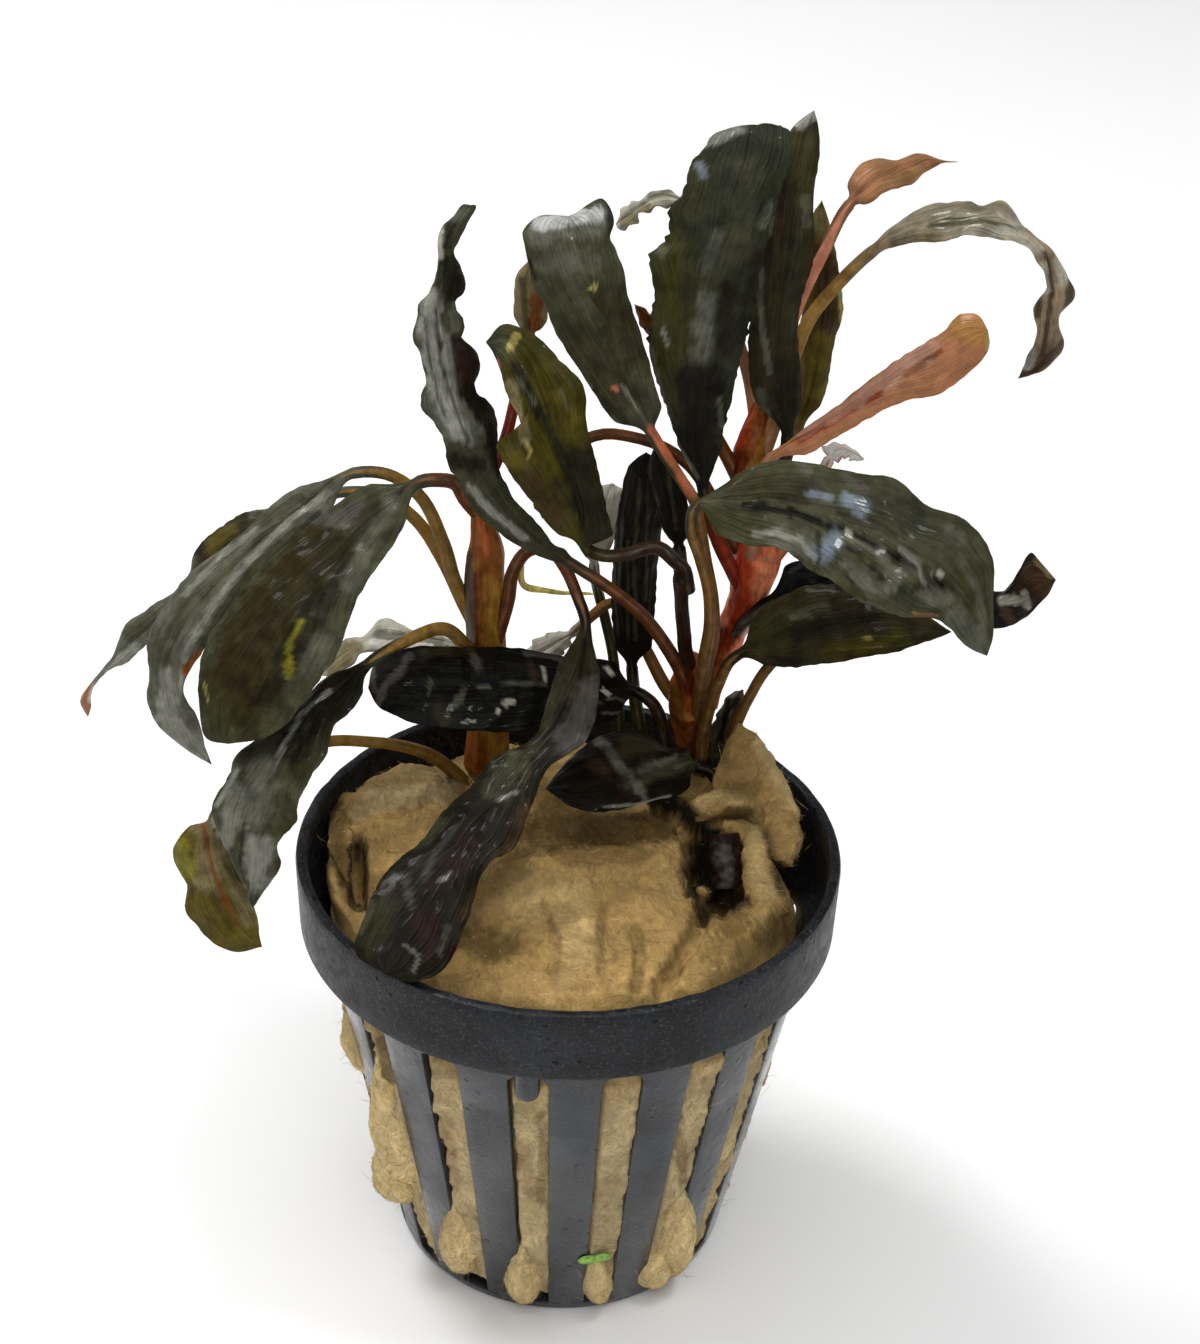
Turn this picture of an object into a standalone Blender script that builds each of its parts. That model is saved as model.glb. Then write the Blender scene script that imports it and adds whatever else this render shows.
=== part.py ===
"""A water plant with dark red leaves, rooted in a plug of rockwool in a slotted
black plastic pot.

The pot stands on z = 0 with its axis on the z axis. The plant faces -Y. Every
leaf and stem follows a short list of places (column, row, depth): a pixel of
the 1200 x 1344 picture and the distance behind the pot's axis, in millimetres.
The sight line through the pixel gives the place in space.
"""

import math

import bmesh
import bpy
import numpy as np
from mathutils import Matrix, Vector

MM = 0.001

# Gap that neighbouring pieces keep
GAP = 0.3 * MM

# Pot
RIM_RADIUS = 27.0 * MM
POT_HEIGHT = 46.8 * MM
LIP_WIDTH = 1.2 * MM
BAND_HEIGHT = 7.7 * MM
BAND_FOOT_RADIUS = 26.8 * MM
WALL_TOP_RADIUS = 24.8 * MM
BASE_RADIUS = 17.4 * MM
WALL = 1.0 * MM
FLOOR = 1.0 * MM
BASE_CHAMFER = 0.8 * MM
POT_SEGMENTS = 51

# Slots in the wall, evenly spaced, with round tops
SLOT_COUNT = 17
SLOT_FIRST_ANGLE = -7.0
SLOT_ANGLE = 9.4
SLOT_FOOT = 1.4 * MM
SLOT_HEAD = 37.4 * MM
SLOT_CORNER = 1.3 * MM
SLOT_REACH = 6.0 * MM

# Moulded tab under the band, in one slot's head
TAB_ANGLE = -7.0
TAB_DROP = 4.2 * MM
TAB_WIDTH = 2.4 * MM
TAB_STAND = 0.55 * MM

# Rockwool plug
WOOL_FLOOR = 2.0 * MM
WOOL_LEVEL = 43.5 * MM
WOOL_MARGIN = 0.5 * MM

# Rises and hollows of the plug's top, in millimetres: middle x and y, half
# widths along x and y, turn in degrees, height over the level, steepness
WOOL_FORMS = {
    "front lump": (1.0, -8.0, 12.5, 15.0, 0.0, 2.7, 4.0),
    "left slab": (-16.5, 8.0, 7.0, 6.5, -10.0, 1.7, 4.0),
    "bed of the stems": (3.0, 17.5, 17.0, 6.0, 0.0, 1.3, 4.0),
    "fold peak": (17.6, 11.2, 3.3, 3.6, 0.0, 8.5, 2.4),
    "fold flank": (20.4, 4.6, 2.8, 5.6, -20.0, 5.2, 2.4),
    "roll": (14.0, 8.0, 3.4, 2.2, 0.0, 2.6, 2.0),
    "right ridge": (19.2, -1.8, 2.0, 5.0, 10.0, 2.2, 2.0),
    "right slope": (16.5, -13.0, 6.5, 7.0, 0.0, 1.8, 3.0),
    "hole": (15.6, 1.4, 3.4, 4.8, 0.0, -5.6, 4.0),
    "left cleft": (-20.5, -4.5, 2.4, 5.5, 10.0, -2.6, 2.0),
}

# Dark gaps between plug and wall: angle from +X, half spread, depth in millimetres
WOOL_GAPS = ((180.0, 30.0, 1.6), (8.0, 22.0, 2.8))

# Wool that swells out through the slots: angle, height, then half sizes
# across, outwards and up, all but the angle in millimetres
WOOL_SWELLS = {
    "left high": (-70.0, 30.0, 2.2, 1.6, 4.0),
    "left big": (-55.0, 21.0, 4.2, 2.2, 6.4),
    "left low": (-58.0, 12.4, 3.0, 2.6, 4.0),
    "second slot": (-31.5, 6.6, 2.6, 1.6, 4.2),
    "third slot foot": (-8.5, 3.6, 2.2, 1.8, 2.9),
    "fourth slot foot": (14.5, 3.4, 2.1, 1.7, 2.7),
    "fifth slot": (40.0, 6.6, 3.2, 2.2, 5.2),
}
SWELL_ROOT = 4.0 * MM

# Blade and petiole sections
BLADE_THICKNESS = 0.55 * MM
PETIOLE_RADIUS = 0.60 * MM

# The picture's sight lines: size and focal length in pixels, then the
# distance, target, dip and roll of the line through its centre
PICTURE_CENTRE = (600.0, 672.0)
FOCAL_PX = 2360.6
SIGHT_DISTANCE = 224.07 * MM
SIGHT_TARGET = Vector((2.532 * MM, 0.0, 66.715 * MM))
SIGHT_DIP = math.radians(31.268)
SIGHT_ROLL = math.radians(1.831)

FORWARD = Vector((0.0, math.cos(SIGHT_DIP), -math.sin(SIGHT_DIP)))
LEVEL_UP = Vector((0.0, math.sin(SIGHT_DIP), math.cos(SIGHT_DIP)))
LEVEL_RIGHT = Vector((1.0, 0.0, 0.0))
SIGHT_RIGHT = LEVEL_RIGHT * math.cos(SIGHT_ROLL) + LEVEL_UP * math.sin(SIGHT_ROLL)
SIGHT_UP = LEVEL_UP * math.cos(SIGHT_ROLL) - LEVEL_RIGHT * math.sin(SIGHT_ROLL)
EYE = SIGHT_TARGET - FORWARD * SIGHT_DISTANCE

# Stems: places up the middle, with the radius in millimetres at each
STEMS = {
    "stem_left": {
        "colour": "sheath",
        "course": [(488, 762, 16.4), (488, 700, 16.3), (486, 640, 16), (485, 580, 15.5),
                   (484, 535, 15), (474, 503, 14.5)],
        "radius": [1.9, 1.8, 1.8, 2.0, 1.8, 0.6],
    },
    "stem_middle": {
        "colour": "sheath",
        "course": [(688, 752, 19.2), (689, 720, 18), (691, 690, 16.5), (692, 664, 15.2)],
        "radius": [1.1, 1.6, 1.9, 1.2],
    },
    "stem_right": {
        "colour": "salmon",
        "course": [(719, 663, 14.8), (723, 642, 14), (733, 615, 13), (743, 590, 12.5), (746, 562, 12)],
        "radius": [1.0, 1.2, 1.4, 1.6, 1.7],
    },
    "stem_dark": {
        "colour": "dark_stem",
        "course": [(686, 652, 13.2), (683, 620, 11.5), (681, 590, 11), (680, 568, 10.8)],
        "radius": [0.7, 0.7, 0.7, 0.7],
    },
    "sheath_right": {
        "colour": "sheath",
        "course": [(748, 544, 12), (748, 505, 12.6), (750, 465, 13.4), (757, 425, 14.4), (762, 398, 15.2)],
        "radius": [0.9, 1.3, 1.9, 1.5, 0.7],
    },
}

# Small round pieces: a dark stub of old rootstock in the wool, and one root
STEMS["stub"] = {
    "colour": "stub",
    "course": [(728, 880, 0.8), (725, 860, 2.2), (721, 838, 3.6)],
    "radius": [1.1, 1.3, 1.0],
}
STEMS["root"] = {
    "colour": "root",
    "course": [(521, 563, 14.2), (523, 584, 13.8), (548, 591, 12.8), (594, 594, 12.4)],
    "radius": [0.3, 0.35, 0.2, 0.15],
}

# Leaves: petiole and midrib as places with depths, the two edges as pixels.
# The lean is how far each edge lies behind the midrib's sight plane, in
# millimetres. The upper edge is the left one on an upright leaf.
LEAVES = {
    "leaf_left_front": {
        "colour": "leaf",
        "petiole": [(466, 500, 14), (456, 484, 12), (438, 480, 9)],
        "midrib": [(420, 482, 6.5), (350, 545, 2), (280, 630, -4), (240, 700, -8), (228, 744, -10)],
        "upper": [(372, 484), (325, 515), (260, 580), (208, 645), (203, 700), (210, 738)],
        "lower": [(404, 522), (376, 566), (350, 610), (335, 650), (300, 695), (262, 732)],
        "lean": (3.0, -2.5),
    },
    "leaf_left_back": {
        "colour": "leaf",
        "petiole": [(458, 588, 16), (444, 545, 15.5), (418, 494, 14.5), (382, 473, 12.5)],
        "midrib": [(354, 473, 11), (300, 508, 9), (240, 560, 7), (190, 615, 4.5), (169, 660, 3),
                   (172, 705, 1.5), (192, 742, 0.5), (212, 765, 0)],
        "upper": [(300, 486), (245, 530), (190, 575), (150, 632), (148, 672), (147, 697), (160, 726),
                  (186, 750)],
        "lower": [(343, 498), (300, 538), (262, 575), (222, 622), (188, 662), (184, 690), (197, 724),
                  (206, 748)],
        "lean": (2.0, -1.5),
    },
    "leaf_left_far": {
        "colour": "pale_leaf",
        "petiole": [(463, 602, 18.4), (444, 562, 18.4), (412, 516, 18), (378, 494, 17.5)],
        "midrib": [(345, 492, 17), (262, 535, 16.5), (200, 580, 16), (150, 627, 15), (110, 664, 14.5),
                   (86, 697, 14), (88, 717, 14)],
        "upper": [(290, 505), (226, 521), (199, 548), (188, 575), (155, 606), (124, 624), (115, 656),
                  (93, 680), (80, 702)],
        "lower": [(310, 530), (262, 565), (210, 600), (172, 618), (145, 648), (131, 660), (110, 669),
                  (92, 693), (91, 708)],
        "lean": (1.5, -1.0),
    },
    "leaf_left_low": {
        "colour": "leaf",
        "petiole": [(466, 647, 13.5), (444, 629, 9), (410, 639, 3), (384, 653, -1)],
        "midrib": [(373, 660, -2), (340, 688, -4), (310, 712, -6.5), (285, 750, -9.5), (262, 800, -12),
                   (248, 850, -13.5), (253, 908, -14.5)],
        "upper": [(350, 664), (318, 686), (283, 714), (245, 748), (222, 785), (212, 818), (226, 848),
                  (242, 885)],
        "lower": [(365, 690), (335, 728), (318, 770), (301, 792), (299, 815), (279, 845), (281, 862),
                  (268, 886)],
        "lean": (2.0, -2.0),
    },
    "leaf_left_tip": {
        "colour": "olive_leaf",
        "petiole": [(461, 779, 12.6), (444, 764, 11.5), (410, 748, 7), (370, 742, 3), (325, 742, -0.5),
                    (280, 756, -3), (240, 785, -5)],
        "midrib": [(214, 818, -7), (208, 845, -8), (214, 875, -9), (226, 902, -10), (243, 930, -11.5),
                   (262, 947, -13)],
        "upper": [(196, 822), (172, 856), (187, 885), (185, 905), (205, 936), (236, 952)],
        "lower": [(224, 822), (230, 850), (240, 875), (252, 897), (258, 925)],
        "lean": (1.5, 1.0),
    },
    "leaf_back_left": {
        "colour": "pale_leaf",
        "petiole": [(490, 668, 19.8), (476, 654, 21)],
        "midrib": [(462, 647, 22), (420, 639, 24), (380, 638, 25.5), (350, 650, 26), (320, 676, 26)],
        "upper": [(430, 630), (405, 628), (391, 617), (368, 632), (345, 642), (330, 660)],
        "lower": [(430, 650), (400, 650), (376, 650), (350, 664), (332, 676)],
        "lean": (2.0, -2.0),
    },
    "leaf_back_low": {
        "colour": "pale_leaf",
        "petiole": [(610, 603, 19), (592, 616, 19.5)],
        "midrib": [(574, 632, 20.5), (552, 646, 22), (534, 658, 24), (520, 672, 26)],
        "upper": [(560, 631), (540, 637), (525, 652)],
        "lower": [(568, 648), (550, 662), (532, 674)],
        "lean": (1.0, -1.0),
    },
    "leaf_back_middle": {
        "colour": "pale_leaf",
        "petiole": [(620, 741, 20.5), (617, 700, 20.4), (612, 650, 20.5), (603, 610, 21), (596, 582, 21)],
        "midrib": [(594, 565, 21), (598, 530, 21), (605, 505, 21.5), (612, 483, 23)],
        "upper": [(578, 545), (585, 515), (597, 488)],
        "lower": [(612, 545), (622, 515), (624, 490)],
        "lean": (1.0, 1.0),
    },
    "leaf_back_hidden": {
        "colour": "olive_leaf",
        "petiole": [(690, 466, 13.6), (665, 448, 13.4), (632, 437, 13.2), (604, 434, 13.2),
                    (586, 439, 13.4)],
        "midrib": [(572, 448, 13.8), (556, 470, 15), (545, 495, 16.5), (542, 518, 18.5)],
        "upper": [(553, 448), (535, 470), (530, 495)],
        "lower": [(580, 468), (570, 492), (560, 512)],
        "lean": (1.0, 1.0),
    },
    "leaf_black_cross": {
        "colour": "black_leaf",
        "petiole": [(664, 742, 20.0), (659, 715, 16.8), (649, 700, 14.2)],
        "midrib": [(636, 692, 12.5), (580, 688, 9.5), (500, 688, 6.5), (430, 688, 5), (368, 688, 4)],
        "upper": [(622, 668), (565, 656), (500, 647), (450, 646), (405, 649), (374, 664)],
        "lower": [(620, 718), (560, 728), (500, 731), (430, 726), (400, 718), (376, 704)],
        "lean": (3.0, -3.0),
    },
    "leaf_low_middle": {
        "colour": "black_leaf",
        "petiole": [(709, 770, 12.0), (704, 768, 11.8)],
        "midrib": [(697, 766, 11.6), (660, 768, 9.6), (620, 773, 7.5), (580, 781, 5), (545, 789, 3)],
        "upper": [(694, 752), (668, 748), (640, 730), (600, 737), (566, 762)],
        "lower": [(690, 786), (650, 802), (610, 811), (575, 808)],
        "lean": (4.5, -4.0),
    },
    "leaf_front": {
        "colour": "black_leaf",
        "petiole": [(508, 600, 13.8), (513, 572, 12.5), (530, 550, 11), (548, 548, 9.8), (565, 568, 8),
                    (578, 598, 6)],
        "midrib": [(585, 618, 4.5), (580, 665, 2), (563, 715, -1), (532, 756, -4.5), (500, 797, -8.5),
                   (470, 840, -12.5), (438, 885, -17), (408, 932, -21), (384, 974, -24.5)],
        "upper": [(568, 640), (550, 692), (532, 738), (492, 760), (466, 790), (440, 815), (420, 842),
                  (384, 874), (364, 918), (355, 952)],
        "lower": [(598, 650), (598, 700), (586, 742), (546, 770), (530, 812), (512, 849), (488, 866),
                  (466, 925), (440, 972), (404, 982)],
        "lean": (1.0, -1.0),
    },
    "leaf_dark_long": {
        "colour": "leaf",
        "petiole": [(668, 649, 12.6), (640, 613, 9.5), (602, 583, 7)],
        "midrib": [(572, 564, 6), (535, 537, 6.2), (505, 505, 6.8), (480, 465, 7.8), (462, 420, 9.2),
                   (447, 360, 11.2), (438, 305, 13.2), (443, 255, 15.2), (456, 225, 16.8), (470, 205, 18)],
        "upper": [(550, 565), (520, 549), (487, 515), (462, 480), (443, 446), (424, 405), (427, 385),
                  (420, 350), (413, 334), (418, 304), (434, 280), (438, 240), (452, 218)],
        "lower": [(572, 548), (545, 522), (510, 474), (497, 425), (478, 385), (480, 362), (460, 338),
                  (463, 318), (455, 302), (463, 288), (452, 250), (464, 224)],
        "lean": (0.5, 0.5),
    },
    "leaf_olive": {
        "colour": "olive_leaf",
        "petiole": [(674, 560, 9), (655, 547, 6.5), (622, 555, 3.5), (600, 555, 2)],
        "midrib": [(588, 550, 1.5), (580, 505, 1.8), (562, 455, 2.8), (545, 410, 4), (525, 365, 6),
                   (508, 338, 8), (486, 342, 10)],
        "upper": [(562, 538), (530, 500), (508, 470), (497, 444), (520, 428), (507, 395), (500, 372),
                  (493, 352)],
        "lower": [(612, 544), (607, 510), (597, 465), (587, 425), (583, 385), (562, 362), (530, 332),
                  (502, 325)],
        "lean": (-0.5, -0.5),
    },
    "leaf_mid": {
        "colour": "leaf",
        "petiole": [(706, 668, 12.6), (713, 640, 11.2), (713, 600, 9.4), (706, 560, 7.4), (700, 525, 5.6),
                    (694, 500, 4.2), (680, 478, 3.2)],
        "midrib": [(652, 434, 2.6), (622, 380, 4.6), (602, 325, 6.4), (586, 270, 8.6), (574, 232, 11),
                   (569, 217, 12.8), (566, 228, 14.6)],
        "upper": [(618, 424), (592, 390), (562, 348), (548, 318), (532, 285), (526, 250), (524, 230),
                  (538, 219)],
        "lower": [(662, 425), (655, 385), (638, 325), (625, 291), (625, 272), (610, 238), (612, 214),
                  (602, 203)],
        "lean": (0.5, 0.0),
    },
    "leaf_mid_back": {
        "colour": "pink_leaf",
        "petiole": [(481, 497, 16), (492, 470, 15), (505, 440, 14.5), (515, 400, 14.2), (524, 362, 14.6)],
        "midrib": [(530, 336, 15), (528, 310, 15.6), (526, 285, 16.4), (532, 258, 17.6)],
        "upper": [(516, 322), (514, 298), (518, 272)],
        "lower": [(545, 325), (548, 305), (542, 275)],
        "lean": (0.8, 0.8),
    },
    "leaf_tall": {
        "colour": "leaf",
        "petiole": [(731, 568, 10.6), (720, 546, 9.6), (710, 518, 8.8)],
        "midrib": [(704, 494, 8), (693, 440, 7), (690, 400, 6.6), (695, 340, 6.8), (708, 280, 8),
                   (728, 220, 10), (748, 165, 12.6), (758, 126, 15.4), (752, 142, 18)],
        "upper": [(690, 470), (665, 405), (648, 340), (654, 290), (650, 255), (668, 236), (669, 210),
                  (684, 190), (690, 165), (704, 148), (716, 134)],
        "lower": [(716, 478), (724, 430), (738, 372), (757, 290), (775, 205), (792, 150), (788, 128)],
        "lean": (0.0, 0.5),
    },
    "leaf_tall_right": {
        "colour": "leaf",
        "petiole": [(778, 474, 12.2), (786, 455, 11.8)],
        "midrib": [(788, 438, 11.2), (778, 390, 10.8), (777, 330, 11), (783, 270, 12.2), (790, 210, 14.4),
                   (802, 150, 17.8), (814, 110, 20.4)],
        "upper": [(755, 400), (748, 350), (754, 290), (766, 225), (782, 160), (792, 128)],
        "lower": [(800, 422), (801, 380), (798, 330), (802, 298), (813, 262), (814, 190), (820, 150),
                  (818, 125)],
        "lean": (0.5, 0.5),
    },
    "leaf_top_back": {
        "colour": "pale_leaf",
        "petiole": [(752, 392, 17), (735, 330, 17.2), (715, 262, 17.6), (702, 222, 18)],
        "midrib": [(690, 204, 18.4), (664, 198, 19), (645, 205, 19.6), (632, 214, 20.2), (616, 224, 21)],
        "upper": [(676, 194), (660, 189), (643, 201), (625, 206)],
        "lower": [(676, 206), (660, 207), (644, 213), (634, 224), (620, 230)],
        "lean": (0.8, -0.8),
    },
    "leaf_young_red": {
        "colour": "pink_leaf",
        "petiole": [(716, 436, 13.4), (700, 400, 13.4), (684, 370, 13.4)],
        "midrib": [(672, 350, 13.4), (652, 325, 13.8), (634, 304, 14.4)],
        "upper": [(658, 322), (644, 308)],
        "lower": [(662, 344), (642, 328)],
        "lean": (0.3, 0.3),
    },
    "leaf_striped": {
        "colour": "black_leaf",
        "petiole": [(642, 743, 19.8), (638, 718, 18.8), (634, 690, 17.8)],
        "midrib": [(632, 668, 16.6), (630, 620, 15.6), (632, 560, 15), (640, 500, 14.8), (646, 452, 15)],
        "upper": [(618, 655), (612, 620), (613, 560), (620, 500), (632, 462)],
        "lower": [(648, 655), (654, 620), (658, 560), (664, 500), (660, 462)],
        "lean": (0.8, 0.8),
    },
    "leaf_dark_narrow": {
        "colour": "black_leaf",
        "petiole": [(680, 560, 10.9)],
        "midrib": [(679, 548, 11), (672, 515, 11.2), (664, 480, 11.4), (655, 445, 11.6)],
        "upper": [(666, 535), (655, 500), (648, 465)],
        "lower": [(690, 535), (688, 505), (674, 465)],
        "lean": (0.6, 0.6),
    },
    "leaf_right_front": {
        "colour": "leaf",
        "petiole": [(700, 688, 12.4), (704, 660, 8.8), (710, 620, 5), (708, 588, 2.8), (700, 558, 1),
                    (691, 527, -1.5)],
        "midrib": [(697, 506, -3.5), (760, 500, -5), (830, 515, -7), (900, 550, -9), (955, 600, -11),
                   (987, 656, -12.5)],
        "upper": [(714, 487), (745, 470), (800, 460), (845, 472), (895, 478), (925, 505), (965, 518),
                  (991, 556), (994, 600), (992, 640)],
        "lower": [(702, 527), (730, 540), (780, 550), (820, 575), (860, 600), (900, 617), (940, 620),
                  (968, 648)],
        "lean": (2.5, -2.0),
    },
    "leaf_right_low": {
        "colour": "olive_leaf",
        "petiole": [(701, 760, 16.2), (703, 735, 14.6), (710, 706, 11.6), (720, 680, 8.6)],
        "midrib": [(738, 655, 5), (780, 640, 3), (830, 628, 1), (880, 622, -1), (952, 632, -3.5)],
        "upper": [(748, 628), (768, 604), (800, 588), (850, 585), (905, 603)],
        "lower": [(760, 664), (785, 667), (830, 663), (880, 655), (925, 643)],
        "lean": (2.0, -2.0),
    },
    "leaf_right_back": {
        "colour": "black_leaf",
        "petiole": [(753, 616, 10.4)],
        "midrib": [(765, 605, 10), (830, 590, 10.6), (900, 590, 10.4), (960, 598, 9.4), (1005, 603, 8.4),
                   (1030, 596, 7.8), (1056, 580, 7)],
        "upper": [(785, 566), (840, 560), (900, 562), (960, 574), (1004, 590), (1017, 575), (1029, 553)],
        "lower": [(785, 612), (840, 616), (900, 616), (960, 620), (1004, 628), (1032, 612), (1046, 597)],
        "lean": (1.0, 1.0),
    },
    "leaf_right_under": {
        "colour": "olive_leaf",
        "petiole": [(728, 750, 15.4), (737, 722, 13.2), (750, 696, 11), (766, 670, 9.4)],
        "midrib": [(784, 652, 8.6), (820, 640, 8), (862, 634, 7.4), (905, 630, 6.6)],
        "upper": [(798, 632), (830, 620), (870, 618)],
        "lower": [(800, 656), (835, 654), (872, 648)],
        "lean": (1.0, -0.5),
    },
    "leaf_pink": {
        "colour": "pink_leaf",
        "petiole": [(776, 390, 16.6), (785, 345, 16.4), (801, 300, 16.2), (826, 248, 16.2)],
        "midrib": [(849, 205, 16.4), (870, 186, 16.8), (900, 172, 17.4), (930, 163, 18), (958, 162, 18.8)],
        "upper": [(848, 188), (862, 162), (872, 160), (895, 160), (916, 153), (938, 160)],
        "lower": [(862, 205), (885, 193), (915, 181), (942, 163)],
        "lean": (1.5, -1.0),
    },
    "leaf_arching": {
        "colour": "leaf",
        "petiole": [(782, 398, 13.8), (794, 356, 13.6), (808, 322, 13), (840, 282, 11)],
        "midrib": [(873, 251, 9), (900, 233, 7.5), (945, 222, 5.5), (1000, 222, 3.5), (1036, 244, 2),
                   (1050, 290, 1), (1047, 345, 0), (1034, 370, -0.5), (1018, 379, -1)],
        "upper": [(884, 231), (905, 216), (940, 203), (968, 199), (985, 207), (1000, 203), (1022, 222),
                  (1042, 246), (1064, 264), (1073, 294), (1060, 318), (1063, 345), (1046, 369)],
        "lower": [(890, 250), (910, 244), (950, 240), (998, 237), (1025, 248), (1044, 272), (1045, 290),
                  (1034, 310), (1037, 340), (1027, 358)],
        "lean": (2.0, -2.0),
    },
    "leaf_salmon": {
        "colour": "pink_leaf",
        "petiole": [(752, 552, 10.2), (752, 515, 9.8), (758, 482, 9.4)],
        "midrib": [(772, 458, 8.8), (815, 430, 8), (860, 402, 7.6), (905, 372, 7.2), (945, 350, 6.8),
                   (988, 330, 6)],
        "upper": [(800, 432), (850, 396), (900, 357), (945, 330), (960, 314), (978, 315)],
        "lower": [(800, 456), (850, 430), (900, 402), (940, 394), (962, 378), (990, 345)],
        "lean": (1.0, -1.5),
    },
    "leaf_small_pale": {
        "colour": "pale_leaf",
        "petiole": [(772, 562, 11), (788, 542, 11), (805, 510, 11), (820, 480, 11)],
        "midrib": [(829, 460, 11.2), (838, 451, 11.6), (850, 453, 12), (864, 459, 12.6)],
        "upper": [(822, 447), (836, 444), (852, 449)],
        "lower": [(838, 462), (846, 458), (856, 462)],
        "lean": (0.5, -0.5),
    },
    "leaf_right_rear": {
        "colour": "olive_leaf",
        "petiole": [(768, 478, 16.6), (782, 455, 18)],
        "midrib": [(797, 430, 18.6), (813, 375, 19), (822, 315, 19.6), (826, 255, 20.6), (822, 200, 22)],
        "upper": [(795, 390), (801, 320), (808, 255), (814, 212)],
        "lower": [(820, 405), (834, 345), (843, 310), (839, 272), (832, 232)],
        "lean": (0.6, 0.6),
    },
    "leaf_small_base": {
        "colour": "leaf",
        "petiole": [(712, 763, 18.4)],
        "midrib": [(714, 753, 18), (723, 725, 17.4), (733, 704, 17), (743, 689, 16.8)],
        "upper": [(709, 737), (717, 715), (730, 694)],
        "lower": [(722, 745), (735, 720), (745, 701)],
        "lean": (0.5, -0.5),
    },
}

COLOURS = {
    "pot": ((0.011, 0.012, 0.014), 0.42),
    "wool": ((0.420, 0.270, 0.105), 0.95),
    "stub": ((0.045, 0.022, 0.022), 0.60),
    "root": ((0.500, 0.380, 0.110), 0.55),
    "sheath": ((0.240, 0.070, 0.020), 0.35),
    "salmon": ((0.480, 0.140, 0.070), 0.35),
    "dark_stem": ((0.030, 0.012, 0.010), 0.30),
    "leaf": ((0.035, 0.040, 0.028), 0.30),
    "olive_leaf": ((0.060, 0.052, 0.012), 0.32),
    "black_leaf": ((0.008, 0.008, 0.006), 0.15),
    "pale_leaf": ((0.320, 0.310, 0.260), 0.40),
    "pink_leaf": ((0.400, 0.170, 0.080), 0.38),
}


def clear_scene():
    """Remove every object of the scene that the script starts in."""
    for obj in list(bpy.data.objects):
        bpy.data.objects.remove(obj, do_unlink=True)


def new_collection(name, parent):
    """A collection of that name inside the parent."""
    collection = bpy.data.collections.new(name)
    parent.children.link(collection)
    return collection


def finish_material(key):
    """A plain material of the named colour and roughness."""
    if key in bpy.data.materials:
        return bpy.data.materials[key]
    colour, roughness = COLOURS[key]
    made = bpy.data.materials.new(key)
    made.use_nodes = True
    shader = made.node_tree.nodes["Principled BSDF"]
    shader.inputs["Base Color"].default_value = (*colour, 1.0)
    shader.inputs["Roughness"].default_value = roughness
    shader.inputs["Metallic"].default_value = 0.0
    return made


def add_object(name, mesh, collection, colour=None):
    """Link an object that holds the mesh, with its own copy of the colour's material."""
    obj = bpy.data.objects.new(name, mesh)
    collection.objects.link(obj)
    if colour:
        own = finish_material(colour).copy()
        own.name = name
        mesh.materials.append(own)
    return obj


def sight_point(column, row, depth):
    """The place on the pixel's sight line that lies depth millimetres behind the pot's axis."""
    across = (column - PICTURE_CENTRE[0]) / FOCAL_PX
    rise = (PICTURE_CENTRE[1] - row) / FOCAL_PX
    line = FORWARD + SIGHT_RIGHT * across + SIGHT_UP * rise
    reach = (depth * MM - EYE.y) / line.y
    return EYE + line * reach


def edge_point(column, row, distance):
    """The place on the pixel's sight line at that distance along the view."""
    across = (column - PICTURE_CENTRE[0]) / FOCAL_PX
    rise = (PICTURE_CENTRE[1] - row) / FOCAL_PX
    line = FORWARD + SIGHT_RIGHT * across + SIGHT_UP * rise
    return EYE + line * distance


def smooth_course(points, shares):
    """Points at the given shares of the length of a smooth curve through the points.

    Each span is a cubic whose slope at a point is the chord between its two
    neighbours, scaled by the spans' lengths.
    """
    points = np.asarray(points, float)
    spans = np.linalg.norm(np.diff(points, axis=0), axis=1)
    knots = np.concatenate([[0.0], np.cumsum(spans)])
    slopes = np.gradient(points, knots, axis=0)
    where = np.asarray(shares) * knots[-1]
    span = np.clip(np.searchsorted(knots, where, side="right") - 1, 0, len(spans) - 1)
    width = spans[span]
    t = (where - knots[span]) / width
    t2 = t * t
    t3 = t2 * t
    weights = (2 * t3 - 3 * t2 + 1, (t3 - 2 * t2 + t) * width, 3 * t2 - 2 * t3, (t3 - t2) * width)
    parts = (points[span], slopes[span], points[span + 1], slopes[span + 1])
    return sum(weight[:, None] * part for weight, part in zip(weights, parts))


def unit(vectors):
    """The vectors, each scaled to length one."""
    vectors = np.asarray(vectors, float)
    return vectors / np.maximum(np.linalg.norm(vectors, axis=-1, keepdims=True), 1e-12)


def loft(name, rings, tip, collection, colour):
    """A closed body through rings of equally many points, ended flat, or on a tip point."""
    count, sides = rings.shape[:2]
    shape = bmesh.new()
    levels = [[shape.verts.new(point) for point in ring] for ring in rings]
    for lower, upper in zip(levels[:-1], levels[1:]):
        for k in range(sides):
            after = (k + 1) % sides
            quad = (lower[k], lower[after], upper[after], upper[k])
            shape.faces.new(quad[:3])
            shape.faces.new((quad[0], quad[2], quad[3]))
    shape.faces.new(list(reversed(levels[0])))
    if tip is None:
        shape.faces.new(levels[-1])
    else:
        point = shape.verts.new(tip)
        for k in range(sides):
            shape.faces.new((levels[-1][k], levels[-1][(k + 1) % sides], point))
    bmesh.ops.recalc_face_normals(shape, faces=shape.faces)
    mesh = bpy.data.meshes.new(name)
    shape.to_mesh(mesh)
    shape.free()
    mesh.shade_smooth()
    mesh.set_sharp_from_angle(angle=math.radians(50))
    return add_object(name, mesh, collection, colour)


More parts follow.
